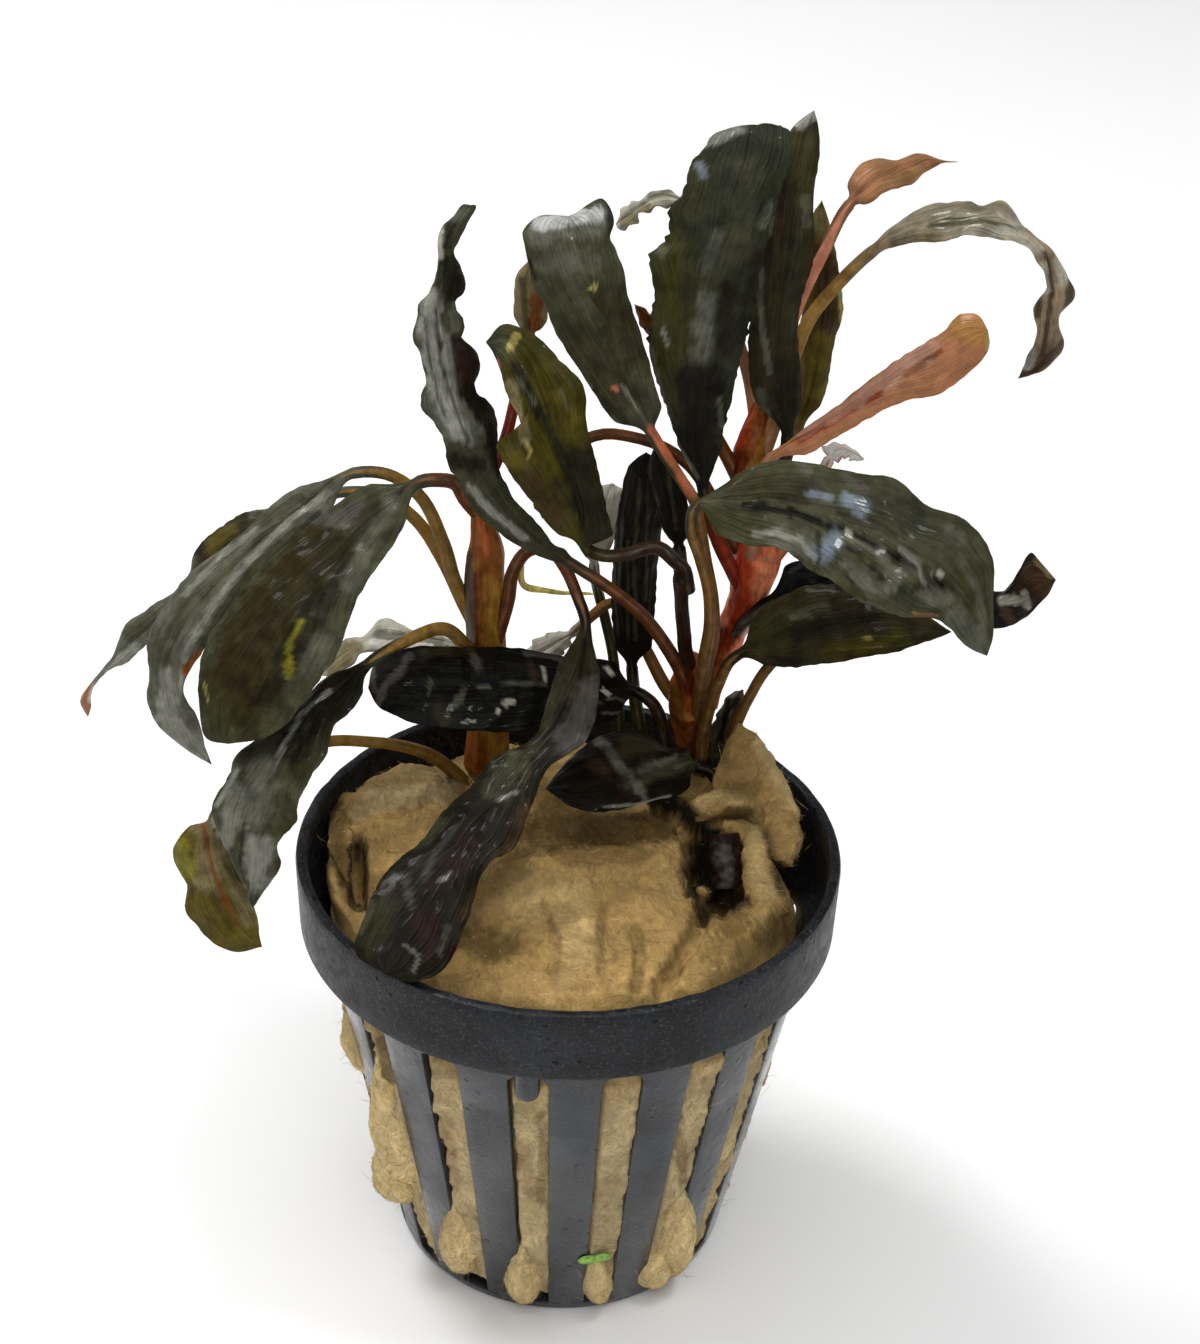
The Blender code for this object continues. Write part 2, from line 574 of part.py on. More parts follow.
def tube_rings(course, radii, sides):
    """Round rings of the given radii, square to the course."""
    along = unit(np.gradient(course, axis=0))
    across = unit(np.cross(along, np.array(FORWARD)))
    out = np.cross(across, along)
    turn = np.arange(sides) / sides * 2 * np.pi
    ring = np.cos(turn)[None, :, None] * across[:, None] + np.sin(turn)[None, :, None] * out[:, None]
    return course[:, None] + ring * np.asarray(radii)[:, None, None]


def make_stem(name, spec, collection):
    """A stem: round rings along its places, ended flat."""
    places = [sight_point(*place) for place in spec["course"]]
    shares = np.linspace(0, 1, 8)
    course = smooth_course(places, shares)
    own = np.linspace(0, 1, len(spec["radius"]))
    radii = np.interp(shares, own, spec["radius"]) * MM
    return loft(name, tube_rings(course, radii, 8), None, collection, spec["colour"])


def make_leaf(name, spec, collection):
    """A leaf with its petiole: eight points round each section.

    A petiole section is round. A blade section is a thin lens from edge to
    edge, thickest at the midrib. The first blade sections blend the two.
    """
    petiole = [sight_point(*place) for place in spec["petiole"]]
    midrib = [sight_point(*place) for place in spec["midrib"]]
    stalk_length = sum((b - a).length for a, b in zip(petiole, petiole[1:] + midrib[:1]))
    blade_length = sum((b - a).length for a, b in zip(midrib, midrib[1:]))
    stalk_count = max(2, round(stalk_length / (7 * MM)) + 1)
    blade_count = int(np.clip(round(blade_length / (4.5 * MM)), 4, 9))
    whole = petiole + midrib
    reach = stalk_length / (stalk_length + blade_length)
    stalk_shares = np.linspace(0, reach, stalk_count, endpoint=False)
    even = np.linspace(0, 1, blade_count + 1)[:-1]
    blade_shares = (even + (1 - np.cos(np.pi * even)) / 2) / 2
    shares = np.concatenate([stalk_shares, reach + blade_shares * (1 - reach)])
    course = smooth_course(whole, shares)

    base = spec["midrib"][0][:2]
    tip = spec["midrib"][-1][:2]
    blade = course[stalk_count:]
    distance = (blade - np.array(EYE)) @ np.array(FORWARD)
    edges = []
    for side, lean in zip(("upper", "lower"), spec["lean"]):
        pixels = smooth_course([base, *spec[side], tip], blade_shares)
        reach_out = distance + lean * MM * np.sin(np.pi * blade_shares) ** 0.7
        edges.append(np.array([edge_point(*pixel, far) for pixel, far in zip(pixels, reach_out)]))

    along = unit(np.gradient(course, axis=0))
    across = unit(np.cross(along, np.array(FORWARD)))
    wide = edges[1] - edges[0]
    wide -= along[stalk_count:] * np.sum(wide * along[stalk_count:], axis=1, keepdims=True)
    facing = np.sign(np.sum(wide * across[stalk_count:], axis=1, keepdims=True))
    side_way = facing[len(facing) // 2]
    across = across * side_way
    good = np.linalg.norm(wide, axis=1) > 1.5 * MM
    across[stalk_count:][good] = unit(wide[good])
    out = unit(np.cross(across, along))
    out *= np.where(out @ np.array(FORWARD) > 0, -1.0, 1.0)[:, None]

    radius = np.full(len(course), PETIOLE_RADIUS)
    diagonal = math.sqrt(0.5)
    round_way = ((-1, 0), (-diagonal, diagonal), (0, 1), (diagonal, diagonal),
                 (1, 0), (diagonal, -diagonal), (0, -1), (-diagonal, -diagonal))
    rings = np.stack([course + across * (a * radius)[:, None] + out * (b * radius)[:, None]
                      for a, b in round_way], axis=1)

    half = BLADE_THICKNESS / 2
    lens = np.empty((blade_count, 8, 3))
    for first, edge, sign in ((0, edges[0], 1), (4, edges[1], -1)):
        lens[:, first] = edge
        lens[:, (first + sign) % 8] = (edge + blade) / 2 + out[stalk_count:] * half * 0.9
        lens[:, (first - sign) % 8] = (edge + blade) / 2 - out[stalk_count:] * half * 0.9
    lens[:, 2] = blade + out[stalk_count:] * half
    lens[:, 6] = blade - out[stalk_count:] * half
    blend = np.clip(blade_shares / 0.12, 0, 1)[:, None, None]
    rings[stalk_count:] = rings[stalk_count:] * (1 - blend) + lens * blend
    return loft(name, rings, np.array(midrib[-1]), collection, spec["colour"])


def turned(name, profile, collection, colour=None):
    """A body turned about the z axis from a closed profile of (radius, height) pairs."""
    mesh = bpy.data.meshes.new(name)
    points = [(radius, 0.0, height) for radius, height in profile]
    links = [(k, k + 1) for k in range(len(points) - 1)]
    mesh.from_pydata(points, links, [])
    obj = add_object(name, mesh, collection, colour)
    screw = obj.modifiers.new("Turn", "SCREW")
    screw.steps = POT_SEGMENTS
    screw.render_steps = POT_SEGMENTS
    screw.use_merge_vertices = True
    screw.merge_threshold = 0.00001
    return obj


def wall_radius(height):
    """The wall's outer radius at a height, along its straight taper."""
    top = POT_HEIGHT - BAND_HEIGHT
    return BASE_RADIUS + (WALL_TOP_RADIUS - BASE_RADIUS) * height / top


def slot_cutter(name, angle, grow, collection):
    """A wedge with a round top that cuts one slot through the wall."""
    half = math.radians(SLOT_ANGLE / 2)
    head = SLOT_HEAD - grow
    foot = SLOT_FOOT + grow
    corner = SLOT_CORNER
    steps = ((foot, 0.0), (head - corner, 0.0), (head - 0.35 * corner, 0.25 * corner), (head, corner))
    widths = [(wall_radius(height) * math.sin(half) - grow - inset, height) for height, inset in steps]
    outline = widths + [(-wide, height) for wide, height in reversed(widths)]
    shape = bmesh.new()
    inner = [shape.verts.new((wide, SLOT_REACH - BASE_RADIUS, height)) for wide, height in outline]
    outer = WALL_TOP_RADIUS + SLOT_REACH
    flare = [shape.verts.new((wide * outer / wall_radius(height), -outer, height))
             for wide, height in outline]
    shape.faces.new(inner)
    shape.faces.new(list(reversed(flare)))
    for k in range(len(outline)):
        after = (k + 1) % len(outline)
        shape.faces.new((inner[k], flare[k], flare[after], inner[after]))
    turn = Matrix.Rotation(math.radians(angle), 3, "Z")
    bmesh.ops.rotate(shape, verts=shape.verts, cent=(0, 0, 0), matrix=turn)
    bmesh.ops.recalc_face_normals(shape, faces=shape.faces)
    mesh = bpy.data.meshes.new(name)
    shape.to_mesh(mesh)
    shape.free()
    obj = add_object(name, mesh, collection)
    obj.hide_render = True
    obj.display_type = "WIRE"
    return obj


def pot_body(name, grow, collection, cutters, colour=None):
    """The pot, or with a positive grow the space that it needs round it.

    The profile runs down the outside, across the underside and up the inside.
    """
    band_foot = POT_HEIGHT - BAND_HEIGHT
    profile = [
        (0.0, -grow),
        (BASE_RADIUS - BASE_CHAMFER, -grow),
        (BASE_RADIUS + grow, BASE_CHAMFER),
        (WALL_TOP_RADIUS + grow, band_foot - grow),
        (BAND_FOOT_RADIUS + grow, band_foot - grow),
        (RIM_RADIUS + grow, POT_HEIGHT + grow),
        (RIM_RADIUS - LIP_WIDTH - grow, POT_HEIGHT + grow),
        (BAND_FOOT_RADIUS - LIP_WIDTH - grow, band_foot + LIP_WIDTH),
        (WALL_TOP_RADIUS - WALL - grow, band_foot - WALL),
        (BASE_RADIUS - WALL - grow, FLOOR + grow),
        (0.0, FLOOR + grow),
    ]
    profile.reverse()
    obj = turned(name, profile, collection, colour)
    for k in range(SLOT_COUNT):
        angle = SLOT_FIRST_ANGLE + k * 360 / SLOT_COUNT
        cutter = slot_cutter(f"{name}_slot_{k + 1}", angle, grow, cutters)
        cut = obj.modifiers.new(f"Slot {k + 1}", "BOOLEAN")
        cut.operation = "DIFFERENCE"
        cut.object = cutter
    return obj


def add_tab(pot, cutters):
    """Join the moulded tab under the band to the pot."""
    top = POT_HEIGHT - BAND_HEIGHT + 0.6 * MM
    foot = POT_HEIGHT - BAND_HEIGHT - TAB_DROP
    shape = bmesh.new()
    bmesh.ops.create_cone(shape, cap_ends=True, segments=10, radius1=TAB_WIDTH / 2, radius2=TAB_WIDTH / 2,
                          depth=top - foot)
    bmesh.ops.translate(shape, verts=shape.verts, vec=(0, -wall_radius(foot) - TAB_STAND, (top + foot) / 2))
    turn = Matrix.Rotation(math.radians(TAB_ANGLE), 3, "Z")
    bmesh.ops.rotate(shape, verts=shape.verts, cent=(0, 0, 0), matrix=turn)
    mesh = bpy.data.meshes.new("tab")
    shape.to_mesh(mesh)
    shape.free()
    tab = add_object("tab", mesh, cutters)
    tab.hide_render = True
    tab.display_type = "WIRE"
    join = pot.modifiers.new("Tab", "BOOLEAN")
    join.operation = "UNION"
    join.object = tab


def wool_height(x, y):
    """Height of the plug's top over a place, with all its forms added to the level."""
    height = np.full(np.shape(x), WOOL_LEVEL)
    for across, back, half_x, half_y, turn, rise, steep in WOOL_FORMS.values():
        angle = math.radians(turn)
        dx = x / MM - across
        dy = y / MM - back
        along = (dx * math.cos(angle) + dy * math.sin(angle)) / half_x
        aside = (dy * math.cos(angle) - dx * math.sin(angle)) / half_y
        height = height + rise * MM * np.exp(-np.hypot(along, aside) ** steep)
    return height


def wool_reach(angle, height):
    """The plug's radius at an angle and height: the pot's inner wall less its margin and gaps."""
    band_foot = POT_HEIGHT - BAND_HEIGHT
    wall = np.where(height < band_foot, wall_radius(height), WALL_TOP_RADIUS) - WALL - WOOL_MARGIN
    near_top = np.clip((height - 0.6 * WOOL_LEVEL) / (0.4 * WOOL_LEVEL), 0, 1)
    for middle, spread, depth in WOOL_GAPS:
        off = (np.degrees(angle) - middle + 180) % 360 - 180
        wall = wall - near_top * depth * MM * np.exp(-(off / spread) ** 4)
    return wall


def wool_body(name, collection, colour):
    """The plug: rings up the side, then rings inwards across its uneven top."""
    sides = 44
    angle = np.arange(sides) / sides * 2 * np.pi
    rings = []
    for share in (0.0, 0.5, 0.85):
        height = np.full(sides, WOOL_FLOOR + share * (WOOL_LEVEL - WOOL_FLOOR))
        reach = wool_reach(angle, height)
        rings.append(np.stack([reach * np.cos(angle), reach * np.sin(angle), height], axis=1))
    edge = wool_reach(angle, np.full(sides, WOOL_LEVEL))
    for share in (1.0, 0.96, 0.88, 0.78, 0.66, 0.53, 0.38, 0.2):
        x = edge * share * np.cos(angle)
        y = edge * share * np.sin(angle)
        drop = 1.2 * MM if share == 1.0 else 0.0
        rings.append(np.stack([x, y, wool_height(x, y) - drop], axis=1))
    centre = np.array([0.0, 0.0, float(wool_height(np.zeros(1), np.zeros(1))[0])])
    return loft(name, np.array(rings), centre, collection, colour)


def add_swells(wool, cutters):
    """Join the swellings in the slots to the plug."""
    for name, (turn, height, across, outwards, up) in WOOL_SWELLS.items():
        bpy.ops.mesh.primitive_ico_sphere_add(subdivisions=2, radius=1.0)
        swell = bpy.context.object
        swell.name = f"swell_{name.replace(' ', '_')}"
        length = outwards * MM + SWELL_ROOT
        middle = wall_radius(height * MM) - SWELL_ROOT + length / 2
        swell.data.transform(Matrix.Diagonal((across * MM, length / 2, up * MM, 1.0)))
        lift = Matrix.Translation((0.0, -middle, height * MM))
        swell.data.transform(Matrix.Rotation(math.radians(turn), 4, "Z") @ lift)
        for holder in list(swell.users_collection):
            holder.objects.unlink(swell)
        cutters.objects.link(swell)
        swell.hide_render = True
        swell.display_type = "WIRE"
        join = wool.modifiers.new(name.capitalize(), "BOOLEAN")
        join.operation = "UNION"
        join.object = swell


def main():
    clear_scene()
    plant = new_collection("potted_bucephalandra", bpy.context.scene.collection)
    cutters = new_collection("cutters", bpy.context.scene.collection)
    pot = pot_body("pot", 0.0, plant, cutters, "pot")
    add_tab(pot, cutters)
    wool = wool_body("rockwool", plant, "wool")
    add_swells(wool, cutters)
    room = pot_body("pot_room", GAP, cutters, cutters)
    room.hide_render = True
    room.display_type = "WIRE"
    clear = wool.modifiers.new("Clear of the pot", "BOOLEAN")
    clear.operation = "DIFFERENCE"
    clear.object = room
    for name, spec in STEMS.items():
        make_stem(name, spec, plant)
    for name, spec in LEAVES.items():
        make_leaf(name, spec, plant)


main()
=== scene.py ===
"""A water plant with long dark leaves, rooted in rockwool inside a slotted
black pot, finished for its render.

Every leaf and stem follows its solid's short list of places, and some reach a
little further down to the crown. A place is a pixel of the 1200 x 1344 picture
and a depth behind the pot's axis, in millimetres. The pot stands on z = 0 with its axis on the z axis.
"""

import math

import bmesh
import bpy
import numpy as np
from mathutils import Matrix, Vector


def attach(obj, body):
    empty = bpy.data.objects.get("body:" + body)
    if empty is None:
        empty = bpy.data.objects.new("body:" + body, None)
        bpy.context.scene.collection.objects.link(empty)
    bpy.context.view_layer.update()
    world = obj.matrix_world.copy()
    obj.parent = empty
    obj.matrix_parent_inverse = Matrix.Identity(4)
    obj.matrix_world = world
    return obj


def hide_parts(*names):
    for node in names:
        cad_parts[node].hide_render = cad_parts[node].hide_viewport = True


bl_info = {
    "name": "Potted water plant",
    "version": (1, 0, 0),
    "blender": (4, 5, 0),
    "location": "View3D > Sidebar > Water plant",
    "description": "Builds a potted water plant: pot, rockwool, stems, leaves and their stage",
    "category": "Add Mesh",
}

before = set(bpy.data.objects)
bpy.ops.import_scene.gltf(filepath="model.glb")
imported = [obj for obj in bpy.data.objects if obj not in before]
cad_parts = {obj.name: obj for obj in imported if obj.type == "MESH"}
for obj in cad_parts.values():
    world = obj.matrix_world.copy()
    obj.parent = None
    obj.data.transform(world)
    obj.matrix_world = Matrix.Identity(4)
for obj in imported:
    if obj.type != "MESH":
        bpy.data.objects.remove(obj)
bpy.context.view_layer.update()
MM = 0.001

# The picture's sight lines: its middle and focal length in pixels, then the
# distance, target, dip and roll of the line through its middle
PICTURE_CENTRE = np.array((600.0, 672.0))
PICTURE_HEIGHT = 1344.0
FOCAL_PX = 2360.6
SIGHT_DISTANCE = 224.07 * MM
SIGHT_TARGET = np.array((2.532, 0.0, 66.715)) * MM
SIGHT_DIP = math.radians(31.268)
SIGHT_ROLL = math.radians(1.831)

FORWARD = np.array((0.0, math.cos(SIGHT_DIP), -math.sin(SIGHT_DIP)))
LEVEL_UP = np.array((0.0, math.sin(SIGHT_DIP), math.cos(SIGHT_DIP)))
LEVEL_RIGHT = np.array((1.0, 0.0, 0.0))
SIGHT_RIGHT = LEVEL_RIGHT * math.cos(SIGHT_ROLL) + LEVEL_UP * math.sin(SIGHT_ROLL)
SIGHT_UP = LEVEL_UP * math.cos(SIGHT_ROLL) - LEVEL_RIGHT * math.sin(SIGHT_ROLL)
EYE = SIGHT_TARGET - FORWARD * SIGHT_DISTANCE

# Pot, as its solid
RIM_RADIUS = 27.0 * MM
POT_HEIGHT = 46.8 * MM
LIP_WIDTH = 1.2 * MM
BAND_FOOT = POT_HEIGHT - 7.7 * MM
BAND_FOOT_RADIUS = 26.8 * MM
WALL_TOP_RADIUS = 24.8 * MM
BASE_RADIUS = 17.4 * MM
WALL = 1.0 * MM
FLOOR = 1.0 * MM
BASE_CHAMFER = 0.8 * MM
SLOT_COUNT = 17
SLOT_FIRST_ANGLE = -7.0
SLOT_ANGLE = 9.4
SLOT_FOOT = 1.4 * MM
SLOT_HEAD = 37.4 * MM
SLOT_CORNER = 1.3 * MM
SLOT_EDGE = 0.14 * MM
TAB_ANGLE = -7.0
TAB_DROP = 4.2 * MM
TAB_WIDTH = 2.4 * MM
TAB_STAND = 0.55 * MM

# Pot: how round the slots' corners, the band and the lip are, how uneven the rim is, the
# distance within which its parts are welded, and the angle from which an edge is sharp
CORNER_ROUND = 0.97
BAND_ROUND = 0.35 * MM
LIP_CORNER = 0.12 * MM
RIM_WAVE = 0.07 * MM
WELD = 0.01 * MM
POT_SHARP_ANGLE = math.radians(38)

# Rockwool, as its solid
WOOL_FLOOR = 2.0 * MM
WOOL_LEVEL = 43.5 * MM
WOOL_MARGIN = 0.5 * MM
WOOL_SHOULDER = WOOL_LEVEL - 1.8 * MM
SHOULDER_SHARE = 0.07
# Rises and hollows of the plug's top, in millimetres: middle x and y, half
# widths along x and y, turn in degrees, height over the level, steepness
WOOL_FORMS = {
    "front lump": (1.0, -8.0, 12.5, 15.0, 0.0, 2.7, 4.0),
    "left slab": (-17.3, 8.8, 7.6, 6.6, -10.0, 3.4, 5.0),
    "bed of the stems": (3.0, 17.5, 17.0, 6.0, 0.0, 1.3, 4.0),
    "fold peak": (18.0, 10.8, 3.6, 3.6, 0.0, 5.5, 2.4),
    "fold flank": (20.4, 5.6, 2.8, 4.6, -20.0, 2.6, 2.4),
    "right ridge": (19.2, -3.8, 2.0, 4.4, 10.0, 1.2, 2.0),
    "right slope": (16.5, -13.0, 6.5, 7.0, 0.0, 1.8, 3.0),
    "hole": (15.6, 1.4, 3.4, 4.8, 0.0, -5.6, 4.0),
    "left cleft": (-20.5, -4.5, 2.4, 5.5, 10.0, -2.6, 2.0),
}

# Dark gaps between plug and wall: angle from +X, half spread, depth in millimetres
WOOL_GAPS = ((167.0, 20.0, -1.3), (205.0, 12.0, 1.2), (8.0, 22.0, 2.8), (330.0, 14.0, 1.2))

# Dents and rolls in the plug's top: height in millimetres, half width in
# pixels, and the columns and rows of the places along it
WOOL_STROKES = (
    (-1.3, 9, 702, 914, 692, 935, 676, 960, 662, 988),
    (-5.5, 24, 713, 846, 715, 882),
    (-1.2, 8, 690, 826, 704, 824),
    (-3.2, 10, 662, 802, 676, 806, 687, 818),
    (-2.2, 7, 778, 870, 786, 888, 796, 908),
    (-0.8, 8, 470, 925, 505, 940, 530, 962),
    (-0.5, 5, 545, 915, 556, 945, 552, 985),
    (-0.4, 5, 610, 925, 620, 950, 612, 990),
    (0.5, 12, 580, 880, 590, 930, 585, 975),
    (0.7, 18, 520, 880, 600, 868, 670, 862),
    (-0.8, 10, 540, 830, 620, 836, 680, 838),
    (-0.2, 6, 600, 915, 606, 950, 600, 990),
    (-0.5, 6, 636, 930, 640, 960, 636, 990),
    (-4, 8, 357, 846, 359, 878, 358, 900),
    (-1, 9, 352, 812, 400, 806, 460, 796),
    (0.5, 8, 430, 840, 400, 870),
)

# Strokes of paint on the wool, most of them painted shade and light: dark in the hole, the
# creases and clefts, the shadow strips in the slots and where leaves shade the top, light on
# the ridges and rolls, with a few of the wool's own browns. Each gives colour, strength, half
# width in pixels, and the columns and rows of the places along the stroke
WOOL_COLOUR_AND_PAINTED_SHADING = (
    ("wool_dark", 0.7, 16, 500, 826, 580, 832, 660, 828), ("wool_dark", 0.5, 10, 560, 856, 640, 856),
    ("wool_light", 0.25, 20, 520, 900, 560, 900, 575, 940),
    ("wool_dark", 0.6, 8, 700, 912, 690, 940, 668, 975), ("wool_dark", 0.7, 16, 716, 915, 730, 925),
    ("cocoa", 0.9, 12, 722, 900, 738, 900), ("soot", 0.97, 22, 710, 848, 712, 884),
    ("soot", 0.8, 6, 694, 829, 712, 826), ("soot", 0.97, 10, 658, 801, 676, 806, 688, 816),
    ("wool", 0.9, 5, 703, 891, 704, 893), ("wool_dark", 0.9, 6, 716, 822, 730, 812, 750, 812),
    ("wool_light", 0.35, 6, 700, 802, 722, 797, 738, 800), ("wool_dark", 0.5, 5, 764, 830, 772, 850),
    ("wool_light", 0.35, 9, 753, 838, 757, 866, 768, 896),
    ("wool_light", 0.6, 7, 760, 745, 778, 775, 794, 805), ("wool_dark", 0.5, 9, 728, 790, 752, 790),
    ("cocoa", 0.8, 9, 780, 872, 790, 892), ("stone", 0.3, 22, 365, 772, 400, 768, 450, 768),
    ("wool_pale", 0.7, 9, 358, 812, 372, 800, 450, 792),
    ("wool_dark", 0.9, 9, 336, 806, 340, 850, 344, 876), ("soot", 0.97, 8, 358, 848, 358, 876, 356, 900),
    ("wool_dark", 0.6, 12, 470, 900, 500, 880, 520, 862), ("wool_dark", 0.7, 13, 462, 938, 500, 950),
    ("wool_dark", 0.4, 4, 545, 905, 558, 945, 554, 985),
    ("wool_dark", 0.6, 14, 715, 950, 750, 940, 790, 920),
    ("wool_dark", 0.3, 5, 604, 905, 598, 940, 606, 990),
    ("wool_dark", 0.5, 6, 636, 930, 640, 960, 636, 990),
    ("wool_light", 0.12, 12, 575, 890, 590, 940, 560, 985),
    ("wool_dark", 0.6, 5, 541, 1115, 545, 1160, 540, 1200), ("fawn", 0.4, 9, 520, 1150, 530, 1190),
    ("wool_dark", 0.7, 4, 515, 1236, 517, 1252), ("fawn", 0.5, 8, 445, 1120, 452, 1180),
    ("wool_dark", 0.8, 9, 384, 1040, 388, 1075), ("fawn", 0.5, 10, 445, 1205, 455, 1235),
    ("fawn", 0.3, 8, 690, 1290, 705, 1265), ("wool_dark", 0.6, 5, 672, 1080, 684, 1180),
)

# Rolls, flaps and ridges of wool: half thickness in millimetres, then the left
# and the right edge as columns, rows and depths
WOOL_LUMPS = {
    "flap": (1.5,
        (737, 722, 11.5, 728, 742, 11, 720, 760, 10.5, 714, 780, 10, 716, 800, 8.5, 730, 817, 7.5,
         750, 834, 6, 766, 852, 4.5, 784, 866, 3),
        (741, 722, 11.5, 757, 736, 11, 768, 752, 10.8, 782, 774, 10, 793, 795, 9, 799, 815, 7.5,
         802, 836, 6, 798, 851, 4.5, 790, 868, 3)),
    "roll": (1.3,
        (687, 807, 8, 700, 795, 8.3, 718, 790, 8.4, 738, 792, 8.2, 756, 801, 7.6, 770, 815, 6.8),
        (687, 817, 6.8, 697, 823, 6.4, 710, 820, 6.3, 727, 817, 6.3, 745, 820, 6.1, 764, 828, 5.8)),
    "shelf": (1.2,
        (702, 822, 7, 725, 820, 6.8, 750, 822, 6.4, 768, 826, 6.2),
        (706, 831, 5.8, 728, 840, 4.6, 748, 846, 4, 768, 842, 4.4)),
    "ridge": (1.6,
        (748, 828, 5.5, 744, 848, 2.2, 743, 868, -0.8, 745, 888, -3.8, 752, 908, -6, 768, 926, -7.5),
        (764, 828, 5.8, 768, 848, 2.6, 773, 866, -0.2, 779, 884, -2.8, 786, 900, -4.6, 790, 914, -5.8)),
    "crumb": (0.6,
        (697, 886, -2.2, 695, 891, -2.6, 698, 897, -3),
        (704, 885, -2.2, 710, 891, -2.6, 706, 897, -3)),
    "left sheet": (0.9,
        (341, 792, 10.5, 333, 812, 8, 329, 840, 2.8, 336, 866, -0.5, 346, 884, -3.6),
        (362, 792, 10.2, 354, 812, 7.4, 352, 840, 2.2, 350, 864, -0.8, 350, 884, -3.8)),
}

# Wool that swells out through the slots: angle, height, then half sizes
# across, outwards and up, all but the angle in millimetres
WOOL_SWELLS = {
    "left high": (-71.0, 27.6, 1.3, 1.2, 6.0),
    "left big": (-54.0, 21.5, 2.6, 2.2, 10.5),
    "left low": (-59.0, 12.6, 2.6, 2.8, 6.0),
    "second slot": (-31.5, 8.6, 2.3, 1.8, 6.6),
    "third slot foot": (-9.5, 5.8, 1.9, 1.8, 5.2),
    "fourth slot foot": (13.6, 5.4, 1.7, 1.6, 4.8),
    "fifth slot": (38.5, 9.0, 2.4, 2.2, 8.4),
    "fifth slot foot": (33.0, 4.6, 2.2, 2.0, 3.6),
}
SWELL_ROOT = 4.0 * MM

# Stems, a dark stub of old rootstock and one root: columns, rows and depths of the places
# up the middle, and the radius in millimetres at each
STEMS = {
    "stem_left": (
        (486, 764, 16.4, 488, 700, 16.3, 486, 640, 16, 486, 580, 15.5, 485, 535, 15, 474, 503, 14.5),
        (2.3, 2, 1.9, 2.1, 1.9, 0.6)),
    "stem_middle": (
        (690, 752, 19.2, 690, 720, 18, 692, 690, 16.5, 693, 655, 15.2),
        (1.2, 1.7, 2.3, 2.1, 1.2)),
    "stem_right": (
        (702, 700, 16, 714, 664, 14.9, 727, 638, 14, 741, 612, 13, 750, 588, 12.4, 757, 560, 12,
         764, 534, 11.8),
        (1.7, 1.7, 1.5, 1.6, 1.8, 2.3, 2.5)),
    "stem_dark": (
        (692, 678, 16, 686, 652, 13.4, 683, 620, 11.5, 681, 590, 11, 680, 568, 10.8),
        (0.7, 0.7, 0.7, 0.7, 0.7)),
    "sheath_right": (
        (748, 544, 12, 748, 505, 12.6, 750, 465, 13.4, 757, 425, 14.4, 762, 398, 15.2),
        (0.9, 1.3, 1.9, 1.5, 0.7)),
    "stub": (
        (729, 888, 0.7, 727, 862, 2.1, 724, 834, 3.7),
        (1.6, 1.75, 1.5)),
    "root": (
        (521, 563, 14.2, 523, 584, 13.8, 548, 591, 12.8, 594, 594, 12.4),
        (0.3, 0.35, 0.2, 0.15)),
}

